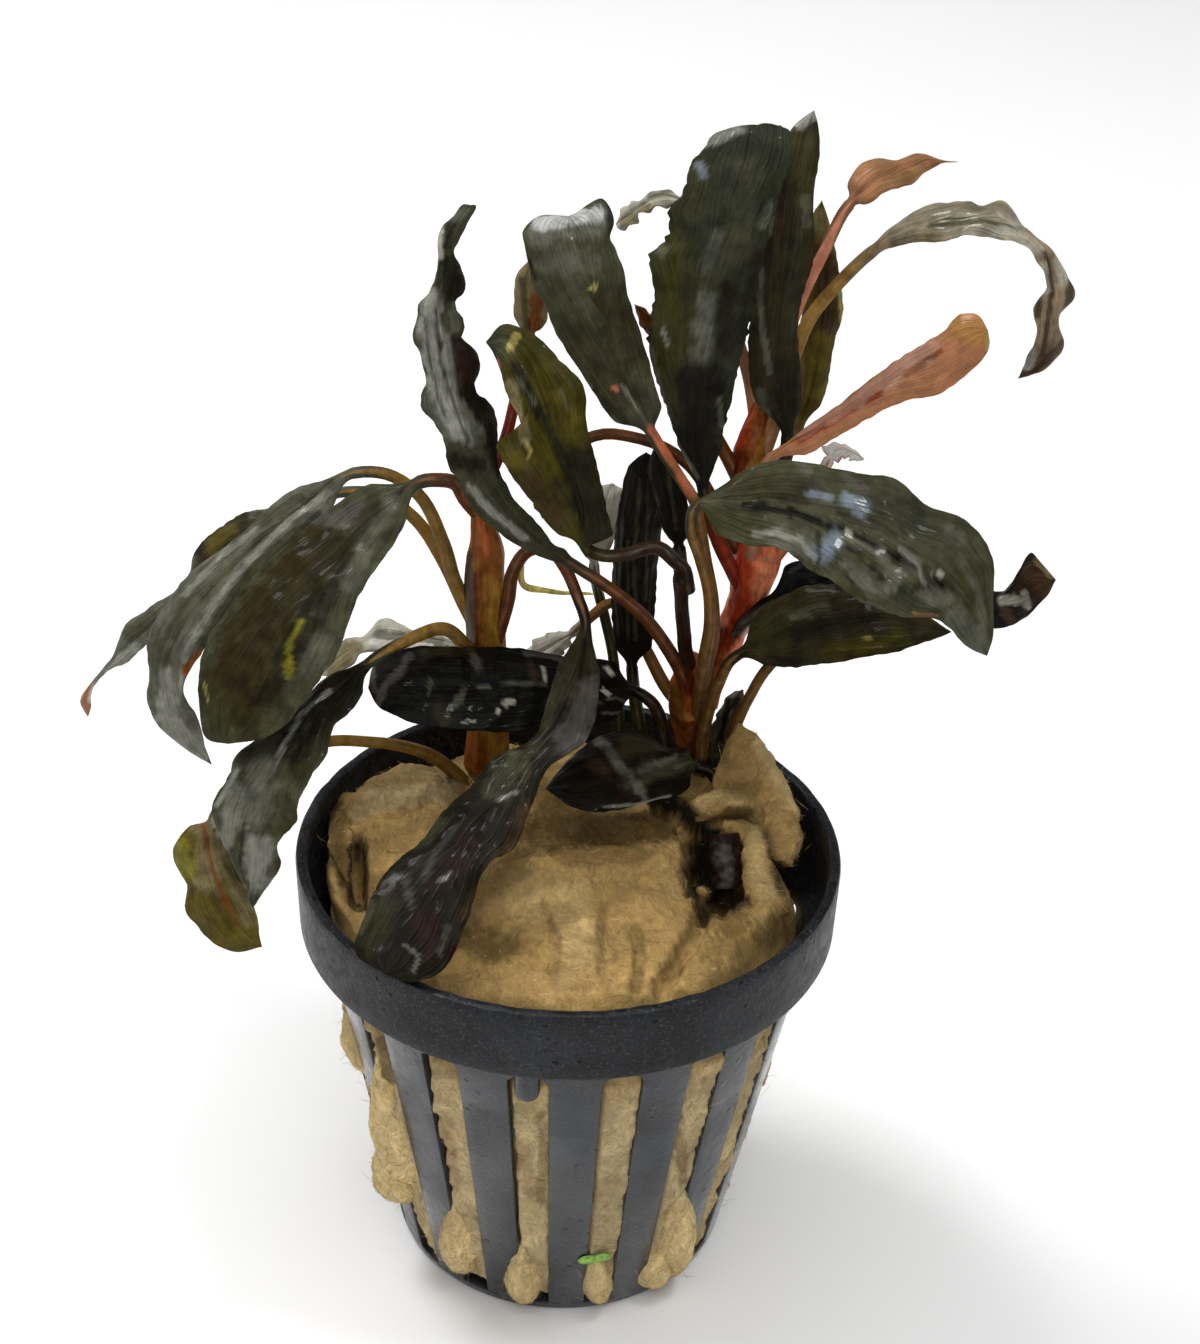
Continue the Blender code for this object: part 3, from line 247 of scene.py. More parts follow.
# Leaves: petiole and midrib as columns, rows and depths, then the two edges as columns and
# rows, and how far in millimetres each edge lies behind the midrib's sight plane. The first
# edge is the upper one, or the left one on an upright leaf.
LEAVES = {
    "leaf_left_front": (
        (478, 514, 14.9, 466, 500, 14, 456, 484, 12, 438, 480, 9),
        (420, 482, 6.5, 350, 545, 2, 280, 630, -4, 240, 700, -8, 228, 744, -10),
        (372, 484, 322, 513, 254, 578, 205, 646, 199, 700, 208, 740),
        (404, 524, 378, 568, 354, 606, 338, 650, 312, 692, 264, 738),
        (3, -2.5)),
    "leaf_left_back": (
        (482, 628, 16, 470, 606, 15.9, 458, 588, 16, 444, 545, 15.5, 418, 494, 14.5, 382, 473, 12.5),
        (354, 473, 11, 300, 508, 9, 240, 560, 7, 190, 615, 4.5, 169, 660, 3, 172, 705, 1.5,
         192, 742, 0.5, 212, 765, 0),
        (300, 486, 245, 530, 190, 575, 150, 632, 148, 672, 147, 697, 160, 726, 186, 750),
        (341, 499, 304, 536, 268, 574, 230, 622, 194, 662, 185, 690, 199, 724, 206, 748),
        (2, -1.5)),
    "leaf_left_far": (
        (485, 650, 16.6, 475, 626, 17.6, 463, 602, 18.4, 444, 562, 18.4, 412, 516, 18, 378, 494, 17.5),
        (345, 492, 17, 262, 535, 16.5, 200, 580, 16, 150, 627, 15, 110, 664, 14.5, 86, 697, 14,
         88, 717, 14),
        (290, 505, 226, 521, 199, 548, 188, 575, 155, 606, 124, 624, 115, 656, 93, 680, 80, 702),
        (310, 530, 262, 565, 210, 600, 172, 618, 145, 648, 131, 660, 110, 669, 92, 693, 91, 708),
        (1.5, -1)),
    "leaf_left_low": (
        (479, 664, 15.2, 466, 647, 13.5, 444, 629, 9, 410, 639, 3, 384, 653, -1),
        (373, 660, -2, 340, 688, -4, 310, 712, -6.5, 285, 750, -9.5, 262, 800, -12, 248, 850, -13.5,
         253, 908, -14.5),
        (350, 664, 318, 686, 283, 714, 245, 748, 222, 785, 212, 818, 226, 848, 242, 885),
        (365, 690, 335, 728, 318, 770, 301, 792, 299, 815, 279, 845, 281, 862, 268, 886),
        (2, -2)),
    "leaf_left_tip": (
        (470, 792, 12.9, 461, 779, 12.6, 444, 764, 11.5, 410, 748, 7, 370, 742, 3, 325, 742, -0.5,
         280, 756, -3, 240, 785, -5),
        (214, 818, -7, 208, 845, -8, 214, 875, -9, 226, 902, -10, 243, 930, -11.5, 262, 947, -13),
        (196, 822, 172, 856, 187, 885, 185, 905, 205, 936, 236, 952),
        (224, 822, 230, 850, 240, 875, 252, 897, 258, 925),
        (1.5, 1)),
    "leaf_back_left": (
        (489, 692, 17.4, 490, 668, 19.8, 476, 654, 21),
        (462, 647, 22, 420, 639, 24, 380, 638, 25.5, 350, 650, 26, 320, 676, 26),
        (430, 630, 405, 628, 391, 617, 368, 632, 345, 642, 330, 660),
        (430, 650, 400, 650, 376, 650, 350, 664, 332, 676),
        (2, -2)),
    "leaf_back_low": (
        (690, 716, 17.6, 668, 690, 18, 640, 640, 18.4, 610, 603, 19, 592, 616, 19.5),
        (574, 632, 20.5, 552, 646, 22, 534, 658, 24, 520, 672, 26),
        (560, 631, 540, 637, 525, 652),
        (568, 648, 550, 662, 532, 674),
        (1, -1)),
    "leaf_back_middle": (
        (622, 760, 20.6, 620, 741, 20.5, 617, 700, 20.4, 612, 650, 20.5, 603, 610, 21, 596, 582, 21),
        (594, 565, 21, 598, 530, 21, 605, 505, 21.5, 612, 483, 23),
        (578, 545, 585, 515, 597, 488),
        (612, 545, 622, 515, 624, 490),
        (1, 1)),
    "leaf_back_hidden": (
        (738, 550, 12.4, 720, 515, 12.8, 690, 466, 13.6, 665, 448, 13.4, 632, 437, 13.2, 604, 434, 13.2,
         586, 439, 13.4),
        (572, 448, 13.8, 556, 470, 15, 545, 495, 16.5, 542, 518, 18.5),
        (553, 448, 535, 470, 530, 495),
        (580, 468, 570, 492, 560, 512),
        (1, 1)),
    "leaf_black_cross": (
        (668, 762, 20.6, 664, 742, 20, 659, 715, 16.8, 649, 700, 14.2),
        (636, 692, 12.5, 580, 688, 9.5, 500, 688, 6.5, 430, 688, 5, 368, 688, 4),
        (622, 668, 565, 656, 500, 647, 450, 646, 405, 649, 374, 664),
        (620, 718, 560, 728, 500, 731, 430, 726, 400, 718, 376, 704),
        (3, -3)),
    "leaf_low_middle": (
        (716, 778, 12.8, 709, 770, 12, 704, 768, 11.8),
        (697, 766, 11.6, 660, 768, 9.6, 620, 773, 7.5, 580, 781, 5, 545, 789, 3),
        (694, 752, 668, 748, 640, 730, 600, 737, 566, 762),
        (690, 786, 650, 802, 610, 811, 575, 808),
        (4.5, -4)),
    "leaf_front": (
        (492, 655, 15.7, 500, 628, 14.9, 508, 600, 13.8, 513, 572, 12.5, 530, 550, 11, 548, 548, 9.8,
         565, 568, 8, 578, 598, 6),
        (585, 618, 4.5, 580, 665, 2, 563, 715, -1, 532, 756, -4.5, 500, 797, -8.5, 470, 840, -12.5,
         438, 885, -17, 408, 932, -21, 384, 974, -24.5),
        (568, 640, 550, 692, 532, 738, 492, 760, 466, 790, 440, 815, 420, 842, 384, 874, 364, 918,
         355, 952),
        (598, 650, 598, 700, 586, 742, 546, 770, 530, 812, 512, 849, 488, 866, 466, 925, 440, 972,
         404, 982),
        (1, -1)),
    "leaf_dark_long": (
        (689, 700, 16.4, 680, 670, 14, 668, 649, 12.6, 640, 613, 9.5, 602, 583, 7),
        (572, 564, 6, 535, 537, 6.2, 505, 505, 6.8, 480, 465, 7.8, 462, 420, 9.2, 447, 360, 11.2,
         438, 305, 13.2, 443, 255, 15.2, 456, 225, 16.8, 470, 205, 18),
        (550, 565, 538, 560, 523, 549, 508, 540, 494, 529, 479, 517, 470, 505, 464, 491, 458, 479,
         450, 470, 446, 455, 444, 441, 438, 429, 430, 418, 421, 409, 421, 397, 426, 379, 422, 365,
         419, 350, 413, 341, 413, 331, 417, 317, 418, 305, 428, 294, 435, 277, 438, 256, 438, 239,
         442, 227, 454, 215, 464, 204),
        (572, 548, 558, 547, 546, 533, 529, 514, 514, 499, 507, 485, 499, 470, 497, 458, 498, 441,
         497, 423, 495, 412, 487, 400, 477, 393, 475, 382, 479, 374, 480, 362, 473, 347, 462, 338,
         464, 330, 463, 318, 456, 308, 456, 300, 464, 293, 465, 280, 460, 265, 454, 252, 458, 242,
         467, 224, 475, 205),
        (0.5, 0.5)),
    "leaf_olive": (
        (688, 590, 11.2, 684, 570, 10.4, 674, 560, 9, 655, 547, 6.5, 622, 555, 3.5, 600, 555, 2),
        (588, 550, 1.5, 580, 505, 1.8, 562, 455, 2.8, 545, 410, 4, 525, 365, 6, 508, 338, 8,
         486, 342, 10),
        (562, 538, 530, 500, 508, 470, 497, 444, 520, 428, 507, 395, 500, 372, 493, 352),
        (612, 544, 607, 510, 597, 465, 587, 425, 583, 385, 562, 362, 530, 332, 502, 325),
        (-0.5, -0.5)),
    "leaf_mid": (
        (698, 720, 17.2, 702, 694, 14.8, 706, 668, 12.6, 713, 640, 11.2, 713, 600, 9.4, 706, 560, 7.4,
         700, 525, 5.6, 694, 500, 4.2, 680, 478, 3.2),
        (652, 434, 2.6, 622, 380, 4.6, 602, 325, 6.4, 586, 270, 8.6, 575, 236, 10.8, 569, 216, 12.6),
        (618, 424, 592, 390, 576, 365, 561, 342, 550, 320, 546, 306, 533, 286, 529, 264, 524, 245,
         523, 230, 535, 218),
        (662, 425, 655, 385, 638, 325, 627, 291, 625, 275, 616, 250, 610, 236, 614, 222, 604, 200),
        (0.5, 0)),
    "leaf_mid_back": (
        (486, 516, 15.4, 481, 497, 16, 492, 470, 15, 505, 440, 14.5, 515, 400, 14.2, 524, 362, 14.6),
        (530, 336, 15, 528, 310, 15.6, 526, 285, 16.4, 532, 258, 17.6),
        (516, 322, 514, 298, 518, 272),
        (545, 325, 548, 305, 542, 275),
        (0.8, 0.8)),
    "leaf_tall": (
        (744, 606, 12.7, 739, 586, 11.8, 731, 568, 10.6, 720, 546, 9.6, 710, 518, 8.8),
        (704, 494, 8, 693, 440, 7, 690, 400, 6.6, 695, 340, 6.8, 708, 280, 8, 728, 220, 10,
         748, 165, 12.6, 758, 126, 15.4, 752, 142, 18),
        (690, 470, 665, 405, 648, 340, 654, 290, 650, 255, 668, 236, 669, 210, 684, 190, 690, 165,
         704, 148, 716, 134),
        (716, 478, 724, 430, 738, 372, 757, 290, 775, 205, 792, 150, 788, 128),
        (0, 0.5)),
    "leaf_tall_right": (
        (758, 515, 12.7, 769, 492, 12.6, 778, 474, 12.2, 786, 455, 11.8),
        (788, 438, 11.2, 778, 390, 10.8, 777, 330, 11, 783, 270, 12.2, 790, 210, 14.4, 802, 150, 17.8,
         814, 110, 20.4),
        (755, 400, 748, 350, 754, 290, 766, 225, 782, 160, 792, 128),
        (800, 422, 801, 380, 798, 330, 802, 298, 813, 262, 814, 190, 820, 150, 818, 125),
        (0.5, 0.5)),
    "leaf_top_back": (
        (753, 455, 14, 756, 425, 15.4, 752, 392, 17, 735, 330, 17.2, 715, 262, 17.6, 702, 222, 18),
        (690, 204, 18.4, 664, 198, 19, 645, 205, 19.6, 632, 214, 20.2, 616, 224, 21),
        (676, 194, 660, 189, 643, 201, 625, 206),
        (676, 206, 660, 207, 644, 213, 634, 224, 620, 230),
        (0.8, -0.8)),
    "leaf_young_red": (
        (746, 495, 12.9, 732, 466, 13.2, 716, 436, 13.4, 700, 400, 13.4, 684, 370, 13.4),
        (672, 350, 13.4, 652, 325, 13.8, 634, 304, 14.4),
        (658, 322, 644, 308),
        (662, 344, 642, 328),
        (0.3, 0.3)),
    "leaf_striped": (
        (645, 762, 20.4, 642, 743, 19.8, 638, 718, 18.8, 634, 690, 17.8),
        (632, 668, 16.6, 630, 620, 15.6, 632, 560, 15, 640, 500, 14.8, 646, 452, 15),
        (618, 655, 612, 620, 613, 560, 620, 500, 632, 462),
        (648, 655, 654, 620, 658, 560, 664, 500, 660, 462),
        (0.8, 0.8)),
    "leaf_dark_narrow": (
        (682, 580, 10.8, 680, 560, 10.9),
        (679, 548, 11, 672, 515, 11.2, 664, 480, 11.4, 655, 445, 11.6),
        (666, 535, 655, 500, 648, 465),
        (690, 535, 688, 505, 674, 465),
        (0.6, 0.6)),
    "leaf_right_front": (
        (694, 728, 17.6, 698, 706, 14.6, 700, 688, 12.4, 704, 660, 8.8, 710, 620, 5, 708, 588, 2.8,
         700, 558, 1, 691, 527, -1.5),
        (697, 506, -3.5, 760, 500, -5, 830, 515, -7, 900, 550, -9, 955, 600, -11, 987, 656, -12.5),
        (714, 487, 745, 470, 800, 460, 845, 472, 895, 478, 925, 505, 965, 518, 991, 556, 994, 600,
         992, 640),
        (702, 527, 730, 540, 780, 550, 820, 575, 860, 600, 900, 617, 940, 620, 968, 648),
        (2.5, -2)),
    "leaf_right_low": (
        (698, 778, 17, 701, 760, 16.2, 703, 735, 14.6, 710, 706, 11.6, 720, 680, 8.6),
        (738, 655, 5, 780, 640, 3, 830, 628, 1, 880, 622, -1, 952, 632, -3.5),
        (748, 628, 768, 604, 800, 588, 850, 585, 905, 603),
        (760, 664, 785, 667, 830, 663, 880, 655, 925, 643),
        (2, -2)),
    "leaf_right_back": (
        (735, 632, 12.8, 744, 622, 11.4, 753, 616, 10.4),
        (765, 605, 10, 830, 590, 10.6, 900, 590, 10.4, 960, 598, 9.4, 1005, 603, 8.4, 1030, 596, 7.8,
         1056, 580, 7),
        (785, 566, 840, 560, 900, 562, 960, 574, 1004, 590, 1017, 575, 1029, 553),
        (785, 612, 840, 616, 900, 616, 960, 620, 1004, 628, 1032, 612, 1046, 597),
        (1, 1)),
    "leaf_right_under": (
        (723, 770, 16, 728, 750, 15.4, 737, 722, 13.2, 750, 696, 11, 766, 670, 9.4),
        (784, 652, 8.6, 820, 640, 8, 862, 634, 7.4, 905, 630, 6.6),
        (798, 632, 830, 620, 870, 618),
        (800, 656, 835, 654, 872, 648),
        (1, -0.5)),
    "leaf_pink": (
        (757, 455, 13.8, 768, 424, 15.2, 776, 390, 16.6, 785, 345, 16.4, 801, 300, 16.2, 826, 248, 16.2),
        (849, 205, 16.4, 870, 186, 16.8, 900, 172, 17.4, 930, 163, 18, 958, 162, 18.8),
        (848, 188, 862, 162, 872, 160, 895, 160, 916, 153, 938, 160),
        (862, 205, 885, 193, 915, 181, 942, 163),
        (1.5, -1)),
    "leaf_arching": (
        (757, 470, 13.2, 772, 430, 13.6, 782, 398, 13.8, 794, 356, 13.6, 808, 322, 13, 840, 282, 11),
        (873, 251, 9, 900, 233, 7.5, 945, 222, 5.5, 1000, 222, 3.5, 1036, 244, 2, 1050, 290, 1,
         1047, 345, 0, 1034, 370, -0.5, 1018, 379, -1),
        (884, 231, 905, 216, 940, 203, 968, 199, 985, 207, 1000, 203, 1022, 222, 1042, 246, 1064, 264,
         1073, 294, 1060, 318, 1063, 345, 1046, 369),
        (890, 250, 910, 244, 950, 240, 998, 237, 1025, 248, 1044, 272, 1045, 290, 1034, 310, 1037, 340,
         1027, 358),
        (2, -2)),
    "leaf_salmon": (
        (743, 598, 12.5, 748, 576, 11.5, 752, 552, 10.2, 752, 515, 9.8, 758, 482, 9.4),
        (772, 458, 8.8, 815, 430, 8, 860, 402, 7.6, 905, 372, 7.2, 945, 350, 6.8, 988, 330, 6),
        (800, 432, 850, 396, 900, 357, 945, 330, 960, 314, 978, 315),
        (800, 456, 850, 430, 900, 402, 940, 394, 962, 378, 990, 345),
        (1, -1.5)),
    "leaf_small_pale": (
        (747, 606, 12.6, 760, 585, 11.6, 772, 562, 11, 788, 542, 11, 805, 510, 11, 820, 480, 11),
        (829, 460, 11.2, 838, 451, 11.6, 850, 453, 12, 864, 459, 12.6),
        (822, 447, 836, 444, 852, 449),
        (838, 462, 846, 458, 856, 462),
        (0.5, -0.5)),
    "leaf_right_rear": (
        (752, 520, 13.4, 760, 500, 15, 768, 478, 16.6, 782, 455, 18),
        (797, 430, 18.6, 813, 375, 19, 822, 315, 19.6, 826, 255, 20.6, 822, 200, 22),
        (795, 390, 801, 320, 808, 255, 814, 212),
        (820, 405, 834, 345, 843, 310, 839, 272, 832, 232),
        (0.6, 0.6)),
    "leaf_small_base": (
        (711, 778, 18.8, 712, 763, 18.4),
        (714, 753, 18, 723, 725, 17.4, 733, 704, 17, 743, 689, 16.8),
        (709, 737, 717, 715, 730, 694),
        (722, 745, 735, 720, 745, 701),
        (0.5, -0.5)),
}

# Colours, as the hex digits of their sRGB values. Laid in strokes, the pale greys, the pale
# blue and mauve are mostly painted sheen, highlights and reflections on the leaves
HUE_CODES = {
    "ink": "0a0906", "soot": "15120a", "coal": "1c1a10", "bark": "2b230f", "umber": "2e2716",
    "moss": "34321a", "pine": "2a2c1e", "slate": "3d3d2b", "stone": "57574a", "silver": "85857a",
    "sheen_white": "bdbdb8", "olive": "3c370f", "olive_light": "54491a", "lime": "76701d",
    "straw": "a89a55", "cocoa": "3a2a1c", "rust": "6b3a16", "wine": "4a1408", "red": "83260f",
    "coral": "b8623f", "rose": "b58a76", "peach": "e0916f", "clay": "a87350", "fawn": "8a6344",
    "ember": "93441a", "tan": "a87a42", "amber": "96702c", "ochre": "7d5622", "plum": "20130f",
    "mauve": "4b4641", "sky": "6f7a86", "beige": "756a48", "sage": "7b745f", "mushroom": "84725a",
    "linen": "a9a596", "white": "d2cec6", "wool_dark": "675028", "wool": "b6955b",
    "wool_light": "e6cb92", "wool_pale": "cbb588", "duckweed": "7fb23a",
}

# Looks of the leaves: finish, base and stalk colours; then, where they differ from the
# usual, the colours of the foot, end, margin and rib, the ruffle's height in millimetres
# and its waves, and how far the edge is nibbled in millimetres
LEAF_LOOKS = {
    "leaf_left_front": {
        "finish": "leaf", "base": "slate", "stalk": "rust", "rib": "soot", "ruffle": (0.2, 3)},
    # Its silver end is painted sheen
    "leaf_left_back": {
        "finish": "leaf", "base": "stone", "stalk": "amber", "rib": "slate", "end": "silver",
        "ruffle": (0.25, 5)},
    "leaf_left_far": {"finish": "leaf", "base": "stone", "stalk": "amber", "end": "clay", "rib": "slate"},
    "leaf_left_low": {
        "finish": "leaf", "base": "slate", "stalk": "amber", "foot": "amber", "ruffle": (0.35, 6)},
    "leaf_left_tip": {"finish": "olive_leaf", "base": "olive_light", "stalk": "amber", "rib": "rust"},
    # Its pale linen base is mostly painted glare on a leaf seen from above
    "leaf_back_left": {"finish": "pale_leaf", "base": "linen", "stalk": "amber", "margin": "stone"},
    "leaf_back_low": {"finish": "pale_leaf", "base": "linen", "stalk": "ochre", "margin": "beige"},
    "leaf_back_middle": {"finish": "pale_leaf", "base": "linen", "stalk": "olive", "margin": "beige"},
    "leaf_back_hidden": {"finish": "olive_leaf", "base": "olive", "stalk": "rust", "margin": "cocoa"},
    "leaf_black_cross": {"finish": "black_leaf", "base": "ink", "stalk": "cocoa", "ruffle": (0.12, 3)},
    "leaf_low_middle": {"finish": "black_leaf", "base": "soot", "stalk": "soot", "ruffle": (0.08, 2)},
    "leaf_front": {
        "finish": "black_leaf", "base": "coal", "stalk": "rust", "foot": "rust", "ruffle": (0.2, 6)},
    "leaf_dark_long": {"finish": "leaf", "base": "slate", "stalk": "rust", "ruffle": (0.4, 9)},
    "leaf_olive": {
        "finish": "olive_leaf", "base": "olive", "stalk": "cocoa", "end": "slate", "ruffle": (0.2, 4)},
    "leaf_mid": {
        "finish": "leaf", "base": "slate", "stalk": "ochre", "foot": "ochre", "rib": "slate",
        "ruffle": (0.25, 4)},
    "leaf_mid_back": {"finish": "pink_leaf", "base": "beige", "stalk": "red", "margin": "beige"},
    "leaf_tall": {"finish": "leaf", "base": "pine", "stalk": "rust", "ruffle": (0.3, 5), "nibble": 0.16},
    "leaf_tall_right": {"finish": "leaf", "base": "umber", "stalk": "cocoa", "ruffle": (0.2, 4)},
    "leaf_top_back": {"finish": "pale_leaf", "base": "linen", "stalk": "clay", "margin": "beige"},
    "leaf_young_red": {"finish": "pink_leaf", "base": "rust", "stalk": "rust", "rib": "amber"},
    "leaf_striped": {"finish": "black_leaf", "base": "soot", "stalk": "olive", "ruffle": (0.1, 3)},
    "leaf_dark_narrow": {"finish": "black_leaf", "base": "soot", "stalk": "cocoa", "ruffle": (0.1, 3)},
    "leaf_right_front": {
        "finish": "leaf", "base": "slate", "stalk": "ochre", "foot": "ochre", "ruffle": (0.25, 5)},
    "leaf_right_low": {"finish": "olive_leaf", "base": "umber", "stalk": "ochre", "ruffle": (0.15, 4)},
    "leaf_right_back": {
        "finish": "black_leaf", "base": "ink", "stalk": "cocoa", "end": "cocoa", "ruffle": (0.4, 7)},
    "leaf_right_under": {"finish": "olive_leaf", "base": "cocoa", "stalk": "ochre", "margin": "soot"},
    "leaf_pink": {
        "finish": "pink_leaf", "base": "fawn", "stalk": "peach", "foot": "peach", "ruffle": (0.15, 3)},
    "leaf_arching": {
        "finish": "leaf", "base": "mushroom", "stalk": "amber", "foot": "clay", "end": "cocoa",
        "ruffle": (0.25, 6)},
    "leaf_salmon": {
        "finish": "pink_leaf", "base": "clay", "stalk": "clay", "foot": "coral", "ruffle": (0.12, 3)},
    "leaf_small_pale": {"finish": "pale_leaf", "base": "white", "stalk": "coral", "margin": "rose"},
    "leaf_right_rear": {"finish": "olive_leaf", "base": "olive_light", "stalk": "rust"},
    "leaf_small_base": {"finish": "leaf", "base": "stone", "stalk": "olive", "rib": "coal"},
}

STEM_HUES = {
    "stem_left": "ochre", "stem_middle": "rust", "stem_right": "coral", "stem_dark": "cocoa",
    "sheath_right": "rust", "stub": "plum", "root": "straw",
}
